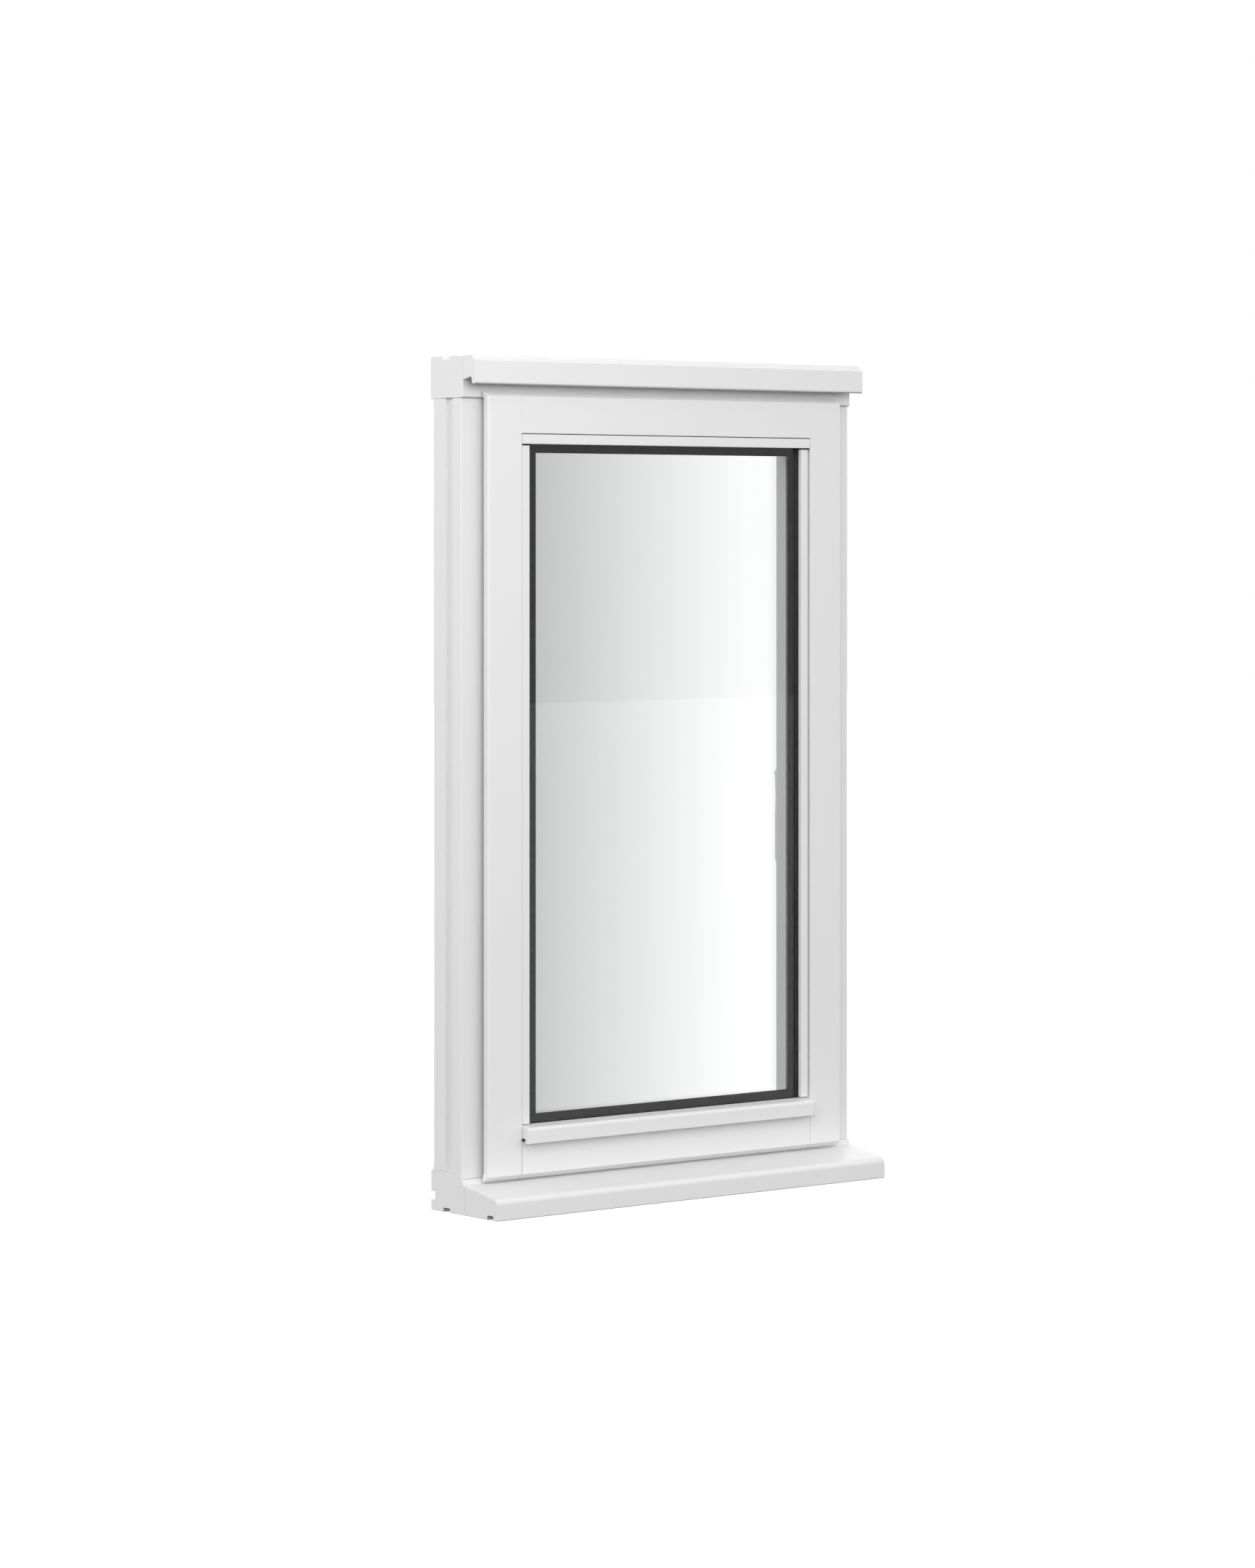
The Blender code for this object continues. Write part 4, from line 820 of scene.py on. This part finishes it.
class CASEMENT_OT_glazing(Operator):
    """Builds the sealed glass unit: two panes, their edge seal, the glazing tape and the setting blocks"""

    bl_idname = "casement.glazing"
    bl_label = "Sealed Glass Unit"

    def execute(self, context):
        for node in ("outer_pane", "inner_pane"):
            lowest, highest = BOX[node]
            piece(f"float_{node}", [block(lowest, highest, 0.5)], finish("float_glass"), "sash",
                  [node])
        front, back = high("outer_pane", "y") + 0.01, low("inner_pane", "y") - 0.01
        outer, inner = low("left_spacer", "x"), high("left_spacer", "x")

        def bar(edge, face, splay):
            """Sealant from the unit's edge in to a spacer face, which stands back a little between two butyl
            bands and splays away from the daylight by splay towards the inner pane."""
            way = math.copysign(1, face - edge)
            far = face - way * splay

            def on_face(depth, sunk):
                share = (depth - front) / (back - front)
                return (face + (far - face) * share - way * sunk, depth, 0.3)

            butyl, sunk = 2.4, 0.7
            return [
                (edge, front, 0.4), (edge, back, 0.4), (far, back, 0.6), on_face(back - butyl, 0),
                on_face(back - butyl - 0.4, sunk), on_face(front + butyl + 0.4, sunk),
                on_face(front + butyl, 0), (face, front, 0.6),
            ]

        def upright(side, turn):
            node = f"{side}_spacer"
            face = inner + (LEFT_SEAL_IN if side == "left" else 0)
            start, end = low(node, "z") - GAP, high(node, "z") + GAP
            shell = run(bar(outer, face, SEAL_SPLAY), start, end, "z", HAIR)
            piece(f"edge_seal_{side}", [turn(shell)], finish("black_sealant"), "sash", [node])

        both_sides(upright)
        for name, edge, face in (
            ("top", high("top_spacer", "z"), low("top_spacer", "z")),
            ("bottom", low("bottom_spacer", "z"), high("bottom_spacer", "z")),
        ):
            corners = [(y, z, r) for z, y, r in bar(edge, face, 0.0)]
            shell = run(corners, low("top_spacer", "x"), high("top_spacer", "x"), "x", 0.3)
            piece(f"edge_seal_{name}", [shell], finish("black_sealant"), "sash", [f"{name}_spacer"])

        # Closed-cell tape beds the beads on the glass, and fills the slot over the side beads.
        tape_front, tape_back = low("top_bead", "y") + 1.2, GLASS_FRONT - 0.05
        crown, foot = low("top_bead", "z") - 0.05, high("left_bead", "z") + 0.05
        tape = run(rectangle(tape_front, foot, tape_back, crown, 0.2),
                   REBATE_LEFT + 0.8, REBATE_LEFT + BEAD_WIDTH + 0.2, "x", 0.1)
        piece("glazing_tape", [tape, mirrored(tape)], finish("black_sealant"), "sash")
        both_sides(self.blocks)
        return {"FINISHED"}

    def blocks(self, side, turn):
        """A setting block with three shallow grooves across its top, so that water drains under the glass."""
        node = f"{side}_block"
        lowest, highest = BOX["left_block"]
        grooves = [
            block((place, lowest[1] - 1, highest[2] - 1), (place + 3, highest[1] + 1, highest[2] + 1), 0.2)
            for place in lowest[0] + np.array((12, 28, 44))
        ]
        piece(f"moulded_{node}", [turn(block(lowest, highest, 0.6))], finish("moulded_nylon"), "sash",
              [node], cuts=[turn(groove) for groove in grooves])


class CASEMENT_OT_stays(Operator):
    """Builds the two friction stays: tracks, arms, sash bars, rivets, screws and end caps"""

    bl_idname = "casement.stays"
    bl_label = "Friction Stays"

    def execute(self, context):
        self.stay("top", SOFFIT, -1)
        self.stay("bottom", SEAT, 1)
        return {"FINISHED"}

    def stay(self, name, base, way):
        steel = finish("rolled_stainless")

        def level(height):
            return base + way * height

        def middle(node):
            return (low(f"{name}_{node}", "x") + high(f"{name}_{node}", "x")) / 2

        frame_pivot, track_pivot = middle("frame_rivet"), middle("track_rivet")
        nose, knee = middle("nose_rivet"), middle("knee_rivet")
        half = (high(f"{name}_track", "y") - low(f"{name}_track", "y")) / 2
        start, end = low(f"{name}_track", "x"), high(f"{name}_track", "x")

        def bore(x, radius, bottom, top):
            return lathe([(radius, level(bottom)), (radius, level(top))], (x, STAY_Y, 0), "z", 28)

        def oblong(left, right, bottom, top, half_width=2.2):
            return strap(left, right, level(bottom), level(top), half_width, HAIR)

        # The track is a shallow channel: a floor with a rib along each edge.
        floor_bottom, floor_top = sorted((level(0.3), level(1.8)))
        rib_bottom, rib_top = sorted((level(0.3), level(2.4)))
        floor = block((start, STAY_Y - half, floor_bottom), (end, STAY_Y + half, floor_top), 0.25)
        edges = [
            block((start, edge, rib_bottom), (end, edge + 1.3, rib_top), 0.3)
            for edge in (STAY_Y - half, STAY_Y + half - 1.3)
        ]
        screws = [frame_pivot + 26, (frame_pivot + track_pivot) / 2, track_pivot - 30, track_pivot + 22]
        slots = [oblong(x + 9, x + 24, -1, 3) for x in screws[:2]] + [oblong(start + 12, start + 26, -1, 3)]
        holes = [bore(pivot, BORE, -1, 3) for pivot in (frame_pivot, track_pivot)]
        piece(f"{name}_channel_track", [floor], steel, "frame", [f"{name}_track"],
              joins=edges, cuts=slots + holes)
        heads = [screw_head((x, STAY_Y, level(1.75)), "z", way, 0.5) for x in screws]
        piece(f"{name}_track_screws", heads, steel, "frame", soft=40)

        (left, front, foot), (right, back, crown) = BOX[f"{name}_end_cap"]
        outline = [
            (left, front, 1.6), (left + 3, front, 1.0), (left + 3.5, back - 4, 1.2), (right, back - 4, 0.5),
            (right, back, 1.2), (left, back, 1.6),
        ]
        piece(f"{name}_moulded_end_cap", [run(outline, foot, crown, "z", 0.6)],
              finish("moulded_nylon"), "frame", [f"{name}_end_cap"])

        def arm(kind, first, last, bottom, body, holes, slot_ends=()):
            half_arm = (high(f"{name}_{kind}", "y") - low(f"{name}_{kind}", "y")) / 2
            shell = strap(first, last, level(bottom), level(bottom + PLATE), half_arm, 0.35)
            cuts = [bore(x, BORE, bottom - 1, bottom + PLATE + 1) for x in holes]
            cuts += [oblong(a, b, bottom - 1, bottom + PLATE + 1, 2.4) for a, b in slot_ends]
            piece(f"{name}_pressed_{kind}", [shell], steel, body, [f"{name}_{kind}"],
                  cuts=cuts)

        short_level, long_level = 3.6, 3.6 + PLATE + 1.2
        bar_level = AIR_GAP - 0.3 - PLATE
        bar_end = high(f"{name}_sash_bar", "x") - 7
        arm("short_arm", nose, frame_pivot, short_level, f"{name}_short_arm", (nose, frame_pivot))
        arm("long_arm", knee, track_pivot, long_level, f"{name}_long_arm", (knee, track_pivot),
            [(knee + 70, knee + 100)])
        holes_in_bar = [(knee + 38, knee + 52), (knee + 96, knee + 110)]
        arm("sash_bar", nose, bar_end, bar_level, "sash", (nose,), holes_in_bar)

        for kind, x, body in (
            ("frame_rivet", frame_pivot, "frame"), ("track_rivet", track_pivot, "frame"),
            ("nose_rivet", nose, "sash"), ("knee_rivet", knee, f"{name}_long_arm"),
        ):
            bottom, top = self.heads(kind, low(f"{name}_{kind}", "z"), high(f"{name}_{kind}", "z"), way)
            profile = bottom + [(SHANK, bottom[-1][1] + 0.02)] + self.collar(kind, level)
            profile += [(SHANK, top[0][1] - 0.02)] + top
            piece(f"{name}_domed_{kind}", [lathe(profile, (x, STAY_Y, 0), "z", 32)], steel, body,
                  [f"{name}_{kind}"], soft=35)

    def heads(self, kind, bottom, top, way):
        """Profiles of a rivet's two ends, lowest first. The knee's ends are domes. The frame's rivets are
        domed on the sash's side and flush in the track, and the nose's has a flat head under the short arm
        and is flush in the sash bar."""
        rise = 0.7
        domed_bottom = [(radius, bottom + top - z) for radius, z in dome(RIVET_HEAD, top - rise, rise)][::-1]
        domed_top = dome(RIVET_HEAD, top - rise, rise)
        flush_bottom, flush_top = [(2.4, bottom), (SHANK, bottom + 0.3)], [(SHANK, top - 0.3), (2.4, top)]
        if kind == "knee_rivet":
            return domed_bottom, domed_top
        if kind == "nose_rivet":
            if way > 0:
                flat = [(3.6, bottom), (RIVET_HEAD, bottom + rise / 2), (RIVET_HEAD, bottom + rise)]
                return flat, flush_top
            return flush_bottom, [(RIVET_HEAD, top - rise), (RIVET_HEAD, top - rise / 2), (3.6, top)]
        return (flush_bottom, domed_top) if way > 0 else (domed_bottom, flush_top)

    def collar(self, kind, level):
        """The washer on a rivet, between the plates that it holds apart, lowest point first."""
        spans = {
            "frame_rivet": (2.1, 3.3), "track_rivet": (2.1, 6.3),
            "nose_rivet": (5.7, AIR_GAP - 2.4), "knee_rivet": (8.7, AIR_GAP - 2.5),
        }
        rim, ease = 4.4, 0.25
        near, far = spans[kind]
        bottom, top = sorted((level(near), level(far)))
        return [
            (SHANK, bottom), (4.1, bottom), (rim, bottom + ease), (rim, top - ease), (4.1, top), (SHANK, top),
        ]


class CASEMENT_OT_lock(Operator):
    """Builds the lock: faceplate, gearbox, rods with their mushroom cams, and the keeps"""

    bl_idname = "casement.lock"
    bl_label = "Lock"

    def execute(self, context):
        zinc = finish("zinc_plate")
        lowest, highest = BOX["lock_faceplate"]
        cams = [(low(node, "z") + high(node, "z")) / 2 for node in ("lower_cam", "upper_cam")]

        def slot(middle):
            """Room for a cam's neck to slide in, as a round-ended slot through the faceplate."""
            half, reach = 3.4, 12.8
            outline = rectangle(LOCK_Y - half, middle - reach, LOCK_Y + half, middle + reach, half)
            return run(outline, lowest[0] - 1, highest[0] + 1, "x", HAIR)

        plate = run(rectangle(lowest[1], lowest[2], highest[1], highest[2], 7.9),
                    lowest[0], highest[0], "x", 0.3)
        cuts = [slot(z - 9) for z in cams]
        piece("plated_lock_faceplate", [plate], zinc, "sash", ["lock_faceplate"], cuts=cuts)
        places = [
            lowest[2] + 12, lowest[2] + 150, HANDLE_Z - 60, HANDLE_Z + 60, highest[2] - 150, highest[2] - 12,
        ]
        heads = [screw_head((highest[0] - 0.1, LOCK_Y, z), "x", 1, 0.45) for z in places]
        piece("faceplate_screws", heads, zinc, "sash", soft=40)

        lowest, highest = BOX["lock_rod"]
        rod = run(rectangle(lowest[1], lowest[2], highest[1], highest[2], 1.2),
                  lowest[0], highest[0], "x", 0.3)
        bores = [
            lathe([(BORE, lowest[0] - 1), (BORE, highest[0] + 1)], (0, LOCK_Y, z), "x", 24) for z in cams
        ]
        piece("plated_lock_rod", [rod], zinc, "lock_rods", ["lock_rod"], cuts=bores)

        for node, z in zip(("lower_cam", "upper_cam"), cams):
            start, end = low(node, "x"), high(node, "x")
            under = high("lock_faceplate", "x") + 2.3
            neck = [(2.4, start), (SHANK, start + 0.3), (SHANK, under), (4.4, under), (5.0, under + 0.7)]
            profile = neck + dome(5.0, end - 1.2, 1.2, eye=0.06)
            piece(f"mushroom_{node}", [lathe(profile, (0, LOCK_Y, z), "x", 40)], zinc, "lock_rods",
                  [node], soft=35)
            self.keep(node.replace("cam", "keep"), zinc)

        lowest, highest = BOX["gearbox"]
        case = block(lowest, highest, 1.2)
        seams = [
            block((lowest[0] - 1, lowest[1] - 1, z - 0.4), (highest[0] + 1, lowest[1] + 0.5, z + 0.4), HAIR)
            for z in (HANDLE_Z - 22, HANDLE_Z + 22)
        ]
        bore = lathe([(NECK_BORE, lowest[1] - 2), (NECK_BORE, highest[1] + 2)],
                     (SPINDLE_X, 0, HANDLE_Z), "y", 32)
        piece("pressed_gearbox_case", [case], zinc, "sash", ["gearbox"], cuts=seams + [bore])
        return {"FINISHED"}

    def keep(self, node, zinc):
        """A striker: a plate on the jamb, and a turned-up wall that holds the cam."""
        lowest, highest = BOX[node]
        plate_x = highest[0] - 1.8
        front, back, foot, crown = lowest[1], highest[1], lowest[2], highest[2]
        wall_back, wall_foot = front + 3, foot + 23
        plate = run([(front, foot, 1.5), (back, foot, 3.0), (back, crown, 3.0), (front, crown, 1.5)],
                    plate_x, highest[0], "x", 0.3)
        wall = run([(front, wall_foot, 1.0), (wall_back, wall_foot, 1.0), (wall_back, crown, 0.8),
                    (front, crown, 0.8)], lowest[0], highest[0] - 0.9, "x", 0.5, start_ease=0.9)
        piece(f"plated_{node}", [plate], zinc, "frame", [node], joins=[wall])
        head = screw_head((plate_x + 0.1, LOCK_Y, foot + 9), "x", -1, 0.7)
        piece(f"{node}_screw", [head], zinc, "frame", soft=40)


class CASEMENT_OT_handle(Operator):
    """Builds the handle: base, spindle, sculpted lever and push button"""

    bl_idname = "casement.handle"
    bl_label = "Handle"

    def execute(self, context):
        enamel = finish("white_powder_coat")
        lowest, highest = BOX["handle_base"]
        body = run(rectangle(lowest[2], lowest[0], highest[2], highest[0], 8.5), lowest[1], highest[1], "y",
                   2.6, start_ease=0.3)
        bore = lathe([(NECK_BORE, lowest[1] - 1), (NECK_BORE, highest[1] + 1)],
                     (SPINDLE_X, 0, HANDLE_Z), "y", 40)
        piece("cast_handle_base", [body], enamel, "sash", ["handle_base"], cuts=[bore])
        cap = [(4.4, highest[1] - 0.8)] + dome(4.4, highest[1] - 0.2, 0.9)
        caps = [lathe(cap, (SPINDLE_X, 0, z), "y", 40) for z in (lowest[2] + 14, highest[2] - 14)]
        piece("handle_screw_covers", caps, enamel, "sash", soft=50)

        lowest, highest = BOX["spindle"]
        bar = run(rectangle(lowest[2], lowest[0], highest[2], highest[0], 0.6), lowest[1], highest[1], "y",
                  0.3)
        piece("square_spindle", [bar], finish("zinc_plate"), "handle", ["spindle"])

        lowest, highest = BOX["handle_lever"]
        back, front, tip, top = lowest[1], highest[1], lowest[2], highest[2]
        half_width = (highest[0] - lowest[0]) / 2
        deep = front - 8.5
        # The blade swells from a slim waist under the hub to a full palm, then rounds off at its tip.
        t = np.linspace(0, 1, 60)
        places = top + (tip - top) * t
        ends = np.sqrt(np.clip(1 - (np.clip((t - 0.93) / 0.07, 0, 1)) ** 2, 0, 1))
        ends *= np.sqrt(np.clip(1 - (np.clip((0.075 - t) / 0.075, 0, 1)) ** 2, 0, 1))
        ends = np.maximum(ends, 0.03)
        waist = 1 - 0.13 * np.exp(-((t - 0.3) / 0.13) ** 2) - 0.04 * np.exp(-((t - 0.7) / 0.2) ** 2)
        thick = 4.25 * (1 - 0.12 * np.exp(-((t - 0.62) / 0.25) ** 2))
        centres = np.stack([np.full_like(t, SPINDLE_X), front - thick], 1)
        halves = np.stack([half_width * waist * (0.35 + 0.65 * ends), thick * (0.3 + 0.7 * ends)], 1)
        halves[0] *= 0.3
        halves[-1] *= 0.3
        blade = loft(places, centres, halves, 2.7, "z", 48)
        neck_turn = np.linspace(0, 1, 14)
        radius = 6.4 - 0.5 * np.sin(math.pi * neck_turn)
        neck = [(6.0, back)] + list(zip(radius, back + 0.3 + (deep - back + 4) * neck_turn))
        hub = lathe(neck, (SPINDLE_X, 0, HANDLE_Z), "y", 48)
        lowest, highest = BOX["handle_button"]
        button_x = (lowest[0] + highest[0]) / 2
        # The well is as deep as the button's travel and a little over.
        well = lathe([(4.6, lowest[1] - 2.7), (4.6, front + 6)], (button_x, 0, HANDLE_Z), "y", 40)
        piece("sculpted_handle_lever", [blade], enamel, "handle", ["handle_lever"], joins=[hub],
              cuts=[well], soft=40)
        profile = [(4.2, lowest[1])] + dome(4.2, highest[1] - 1.1, 1.1, steps=9)
        piece("satin_push_button", [lathe(profile, (button_x, 0, HANDLE_Z), "y", 44)],
              finish("satin_chrome"), "button", ["handle_button"], soft=40)
        return {"FINISHED"}


def stage_card(name, centre, facing, half_width, bottom, top, glows, seen_by):
    """A tall card that shows only to one kind of ray; its glow climbs across it between two values."""
    across = Vector((-facing.y, facing.x, 0))
    ends = [centre - across * half_width, centre + across * half_width]
    points = [(ends[0].x, ends[0].y, bottom), (ends[1].x, ends[1].y, bottom),
              (ends[1].x, ends[1].y, top), (ends[0].x, ends[0].y, top)]
    mesh = bpy.data.meshes.new(name)
    mesh.from_pydata(points, [], [(0, 1, 2, 3)])
    uv = mesh.uv_layers.new(name="across")
    uv.data.foreach_set("uv", [0, 0, 1, 0, 1, 1, 0, 1])
    card = bpy.data.objects.new(name, mesh)
    bpy.context.scene.collection.objects.link(card)
    card.visible_camera = False
    card.visible_diffuse = False
    card.visible_shadow = False
    card.visible_transmission = seen_by == "transmission"
    card.visible_glossy = seen_by == "glossy"
    material = bpy.data.materials.new(name)
    material.use_nodes = True
    tree = material.node_tree
    tree.nodes.clear()
    split = add(tree, "ShaderNodeSeparateXYZ", None, {
        "Vector": add(tree, "ShaderNodeTexCoord").outputs["UV"],
    })
    start, end, dim, bright = glows
    glow = add(tree, "ShaderNodeMapRange", None, {
        "Value": split.outputs["X"], "From Min": start, "From Max": end, "To Min": dim, "To Max": bright,
    })
    emission = add(tree, "ShaderNodeEmission", None, {"Strength": glow.outputs["Result"]})
    output = add(tree, "ShaderNodeOutputMaterial")
    tree.links.new(emission.outputs[0], output.inputs["Surface"])
    mesh.materials.append(material)


class CASEMENT_OT_studio(Operator):
    """Sets up the floor, lights and camera"""

    bl_idname = "casement.studio"
    bl_label = "Studio"

    def execute(self, context):
        scene = context.scene
        scene.view_settings.view_transform = "Standard"
        scene.view_settings.look = "None"
        self.light_tent(scene)
        self.softbox(scene, "softbox", (-0.8, -1.1, 1.25), (0, 0, 0.75), (0.8, 0.6), SOFTBOX_WATTS)
        self.floor(scene)
        forwards = Vector((math.sin(CAMERA_AZIMUTH), math.cos(CAMERA_AZIMUTH), 0))
        reflected = Vector((math.sin(CAMERA_AZIMUTH), -math.cos(CAMERA_AZIMUTH), 0))
        # Seen only through the glass: a card whose glow is painted light, climbing from light grey to white.
        stage_card("painted_glow_card", forwards * PAINTED_GLOW_DISTANCE, -forwards, 0.5, -0.6, 1.9,
                   (*PAINTED_GLOW_SPAN, *PAINTED_GLOW), "transmission")
        # Seen in the glass: the dark mouth of the tent, which keeps its black edges black.
        stage_card("tent_mouth", reflected * MOUTH_DISTANCE, -reflected, 0.8, -1.0, 2.6,
                   (0.0, 1.0, 0.0, 0.0), "glossy")
        camera_data = bpy.data.cameras.new("studio_camera")
        camera_data.sensor_fit = "AUTO"
        camera_data.sensor_width = 36
        camera_data.lens = scene.casement.lens
        camera_data.shift_y = CAMERA_SHIFT
        camera_data.clip_start = 0.1
        camera_data.clip_end = 50
        camera = bpy.data.objects.new("studio_camera", camera_data)
        scene.collection.objects.link(camera)
        camera.location = CAMERA_PLACE
        camera.rotation_euler = (math.pi / 2, 0, -CAMERA_AZIMUTH)
        scene.camera = camera
        return {"FINISHED"}

    def light_tent(self, scene):
        """A white tent: brightest a little above eye height, softer overhead and dim below the table."""
        world = bpy.data.worlds.new("light_tent")
        scene.world = world
        world.use_nodes = True
        tree = world.node_tree
        tree.nodes.clear()
        direction = add(tree, "ShaderNodeTexCoord").outputs["Generated"]
        height = add(tree, "ShaderNodeSeparateXYZ", None, {"Vector": direction})
        upright = add(tree, "ShaderNodeMapRange", None, {
            "Value": height.outputs["Z"], "From Min": -1.0, "From Max": 1.0,
        })
        ramp = add(tree, "ShaderNodeValToRGB", None, {"Fac": upright.outputs["Result"]})
        stops = ramp.color_ramp.elements
        for index, (place, glow) in enumerate(TENT):
            stop = stops[index] if index < 2 else stops.new(place)
            stop.position = place
            stop.color = (glow, glow, glow, 1)
        path = add(tree, "ShaderNodeLightPath")
        # Looking out through the glass shows plain white, and light that comes in through it is the tent's.
        unscattered = add(tree, "ShaderNodeMath", {"operation": "LESS_THAN"}, {
            0: path.outputs["Diffuse Depth"], 1: 0.5,
        })
        outward = add(tree, "ShaderNodeMath", {"operation": "MULTIPLY"}, {
            0: unscattered.outputs[0], 1: path.outputs["Is Transmission Ray"],
        })
        direct = add(tree, "ShaderNodeMath", {"operation": "MAXIMUM"}, {
            0: path.outputs["Is Camera Ray"], 1: outward.outputs[0],
        })
        lit = add(tree, "ShaderNodeBackground", None, {
            "Color": ramp.outputs["Color"], "Strength": TENT_STRENGTH,
        })
        white = add(tree, "ShaderNodeBackground", None, {"Color": (1, 1, 1, 1), "Strength": 1.0})
        choice = add(tree, "ShaderNodeMixShader", None, {"Fac": direct.outputs[0]})
        tree.links.new(lit.outputs[0], choice.inputs[1])
        tree.links.new(white.outputs[0], choice.inputs[2])
        output = add(tree, "ShaderNodeOutputWorld")
        tree.links.new(choice.outputs[0], output.inputs["Surface"])

    def softbox(self, scene, name, place, target, size, watts):
        """A soft light of a given size in metres, turned to face its target."""
        lamp = bpy.data.lights.new(name, "AREA")
        lamp.shape = "RECTANGLE"
        lamp.size, lamp.size_y = size
        lamp.energy = watts
        softbox = bpy.data.objects.new(name, lamp)
        scene.collection.objects.link(softbox)
        softbox.location = place
        softbox.rotation_euler = (Vector(target) - Vector(place)).to_track_quat("-Z", "Y").to_euler()

    def floor(self, scene):
        """A plain white floor, which the light from below passes so that undersides stay in shade."""
        reach = 14.0
        mesh = bpy.data.meshes.new("studio_floor")
        mesh.from_pydata([(-reach, -reach, 0), (reach, -reach, 0), (reach, reach, 0), (-reach, reach, 0)],
                         [], [(0, 1, 2, 3)])
        floor = bpy.data.objects.new("studio_floor", mesh)
        scene.collection.objects.link(floor)
        material, tree, _, output = new_material("white_studio_floor")
        paint = add(tree, "ShaderNodeBsdfPrincipled", None, {
            "Base Color": (0.9, 0.9, 0.9, 1), "Roughness": 0.9, "Emission Color": (1, 1, 1, 1),
            "Emission Strength": 0.5,
        })
        tree.links.new(paint.outputs[0], output.inputs["Surface"])
        mesh.materials.append(material)
        floor.visible_diffuse = False
        floor.visible_glossy = False


class CASEMENT_PT_panel(Panel):
    """Lists the window's pieces"""

    bl_idname = "CASEMENT_PT_panel"
    bl_label = "Casement Window"
    bl_space_type = "VIEW_3D"
    bl_region_type = "UI"
    bl_category = "Casement"

    def draw(self, context):
        settings = context.scene.casement
        for name in ("arris", "lens"):
            self.layout.prop(settings, name)
        for operator in BUILDERS:
            self.layout.operator(operator.bl_idname)


BUILDERS = (
    CASEMENT_OT_frame_timber, CASEMENT_OT_seals, CASEMENT_OT_sash_timber, CASEMENT_OT_beads,
    CASEMENT_OT_glazing, CASEMENT_OT_stays, CASEMENT_OT_lock, CASEMENT_OT_handle, CASEMENT_OT_studio,
)
CLASSES = (CasementSettings, *BUILDERS, CASEMENT_PT_panel)


def register():
    for cls in CLASSES:
        bpy.utils.register_class(cls)
    bpy.types.Scene.casement = PointerProperty(type=CasementSettings)


def unregister():
    del bpy.types.Scene.casement
    for cls in reversed(CLASSES):
        bpy.utils.unregister_class(cls)


def main():
    register()
    for operator in BUILDERS:
        group, name = operator.bl_idname.split(".")
        getattr(getattr(bpy.ops, group), name)()


if __name__ == "__main__":
    main()
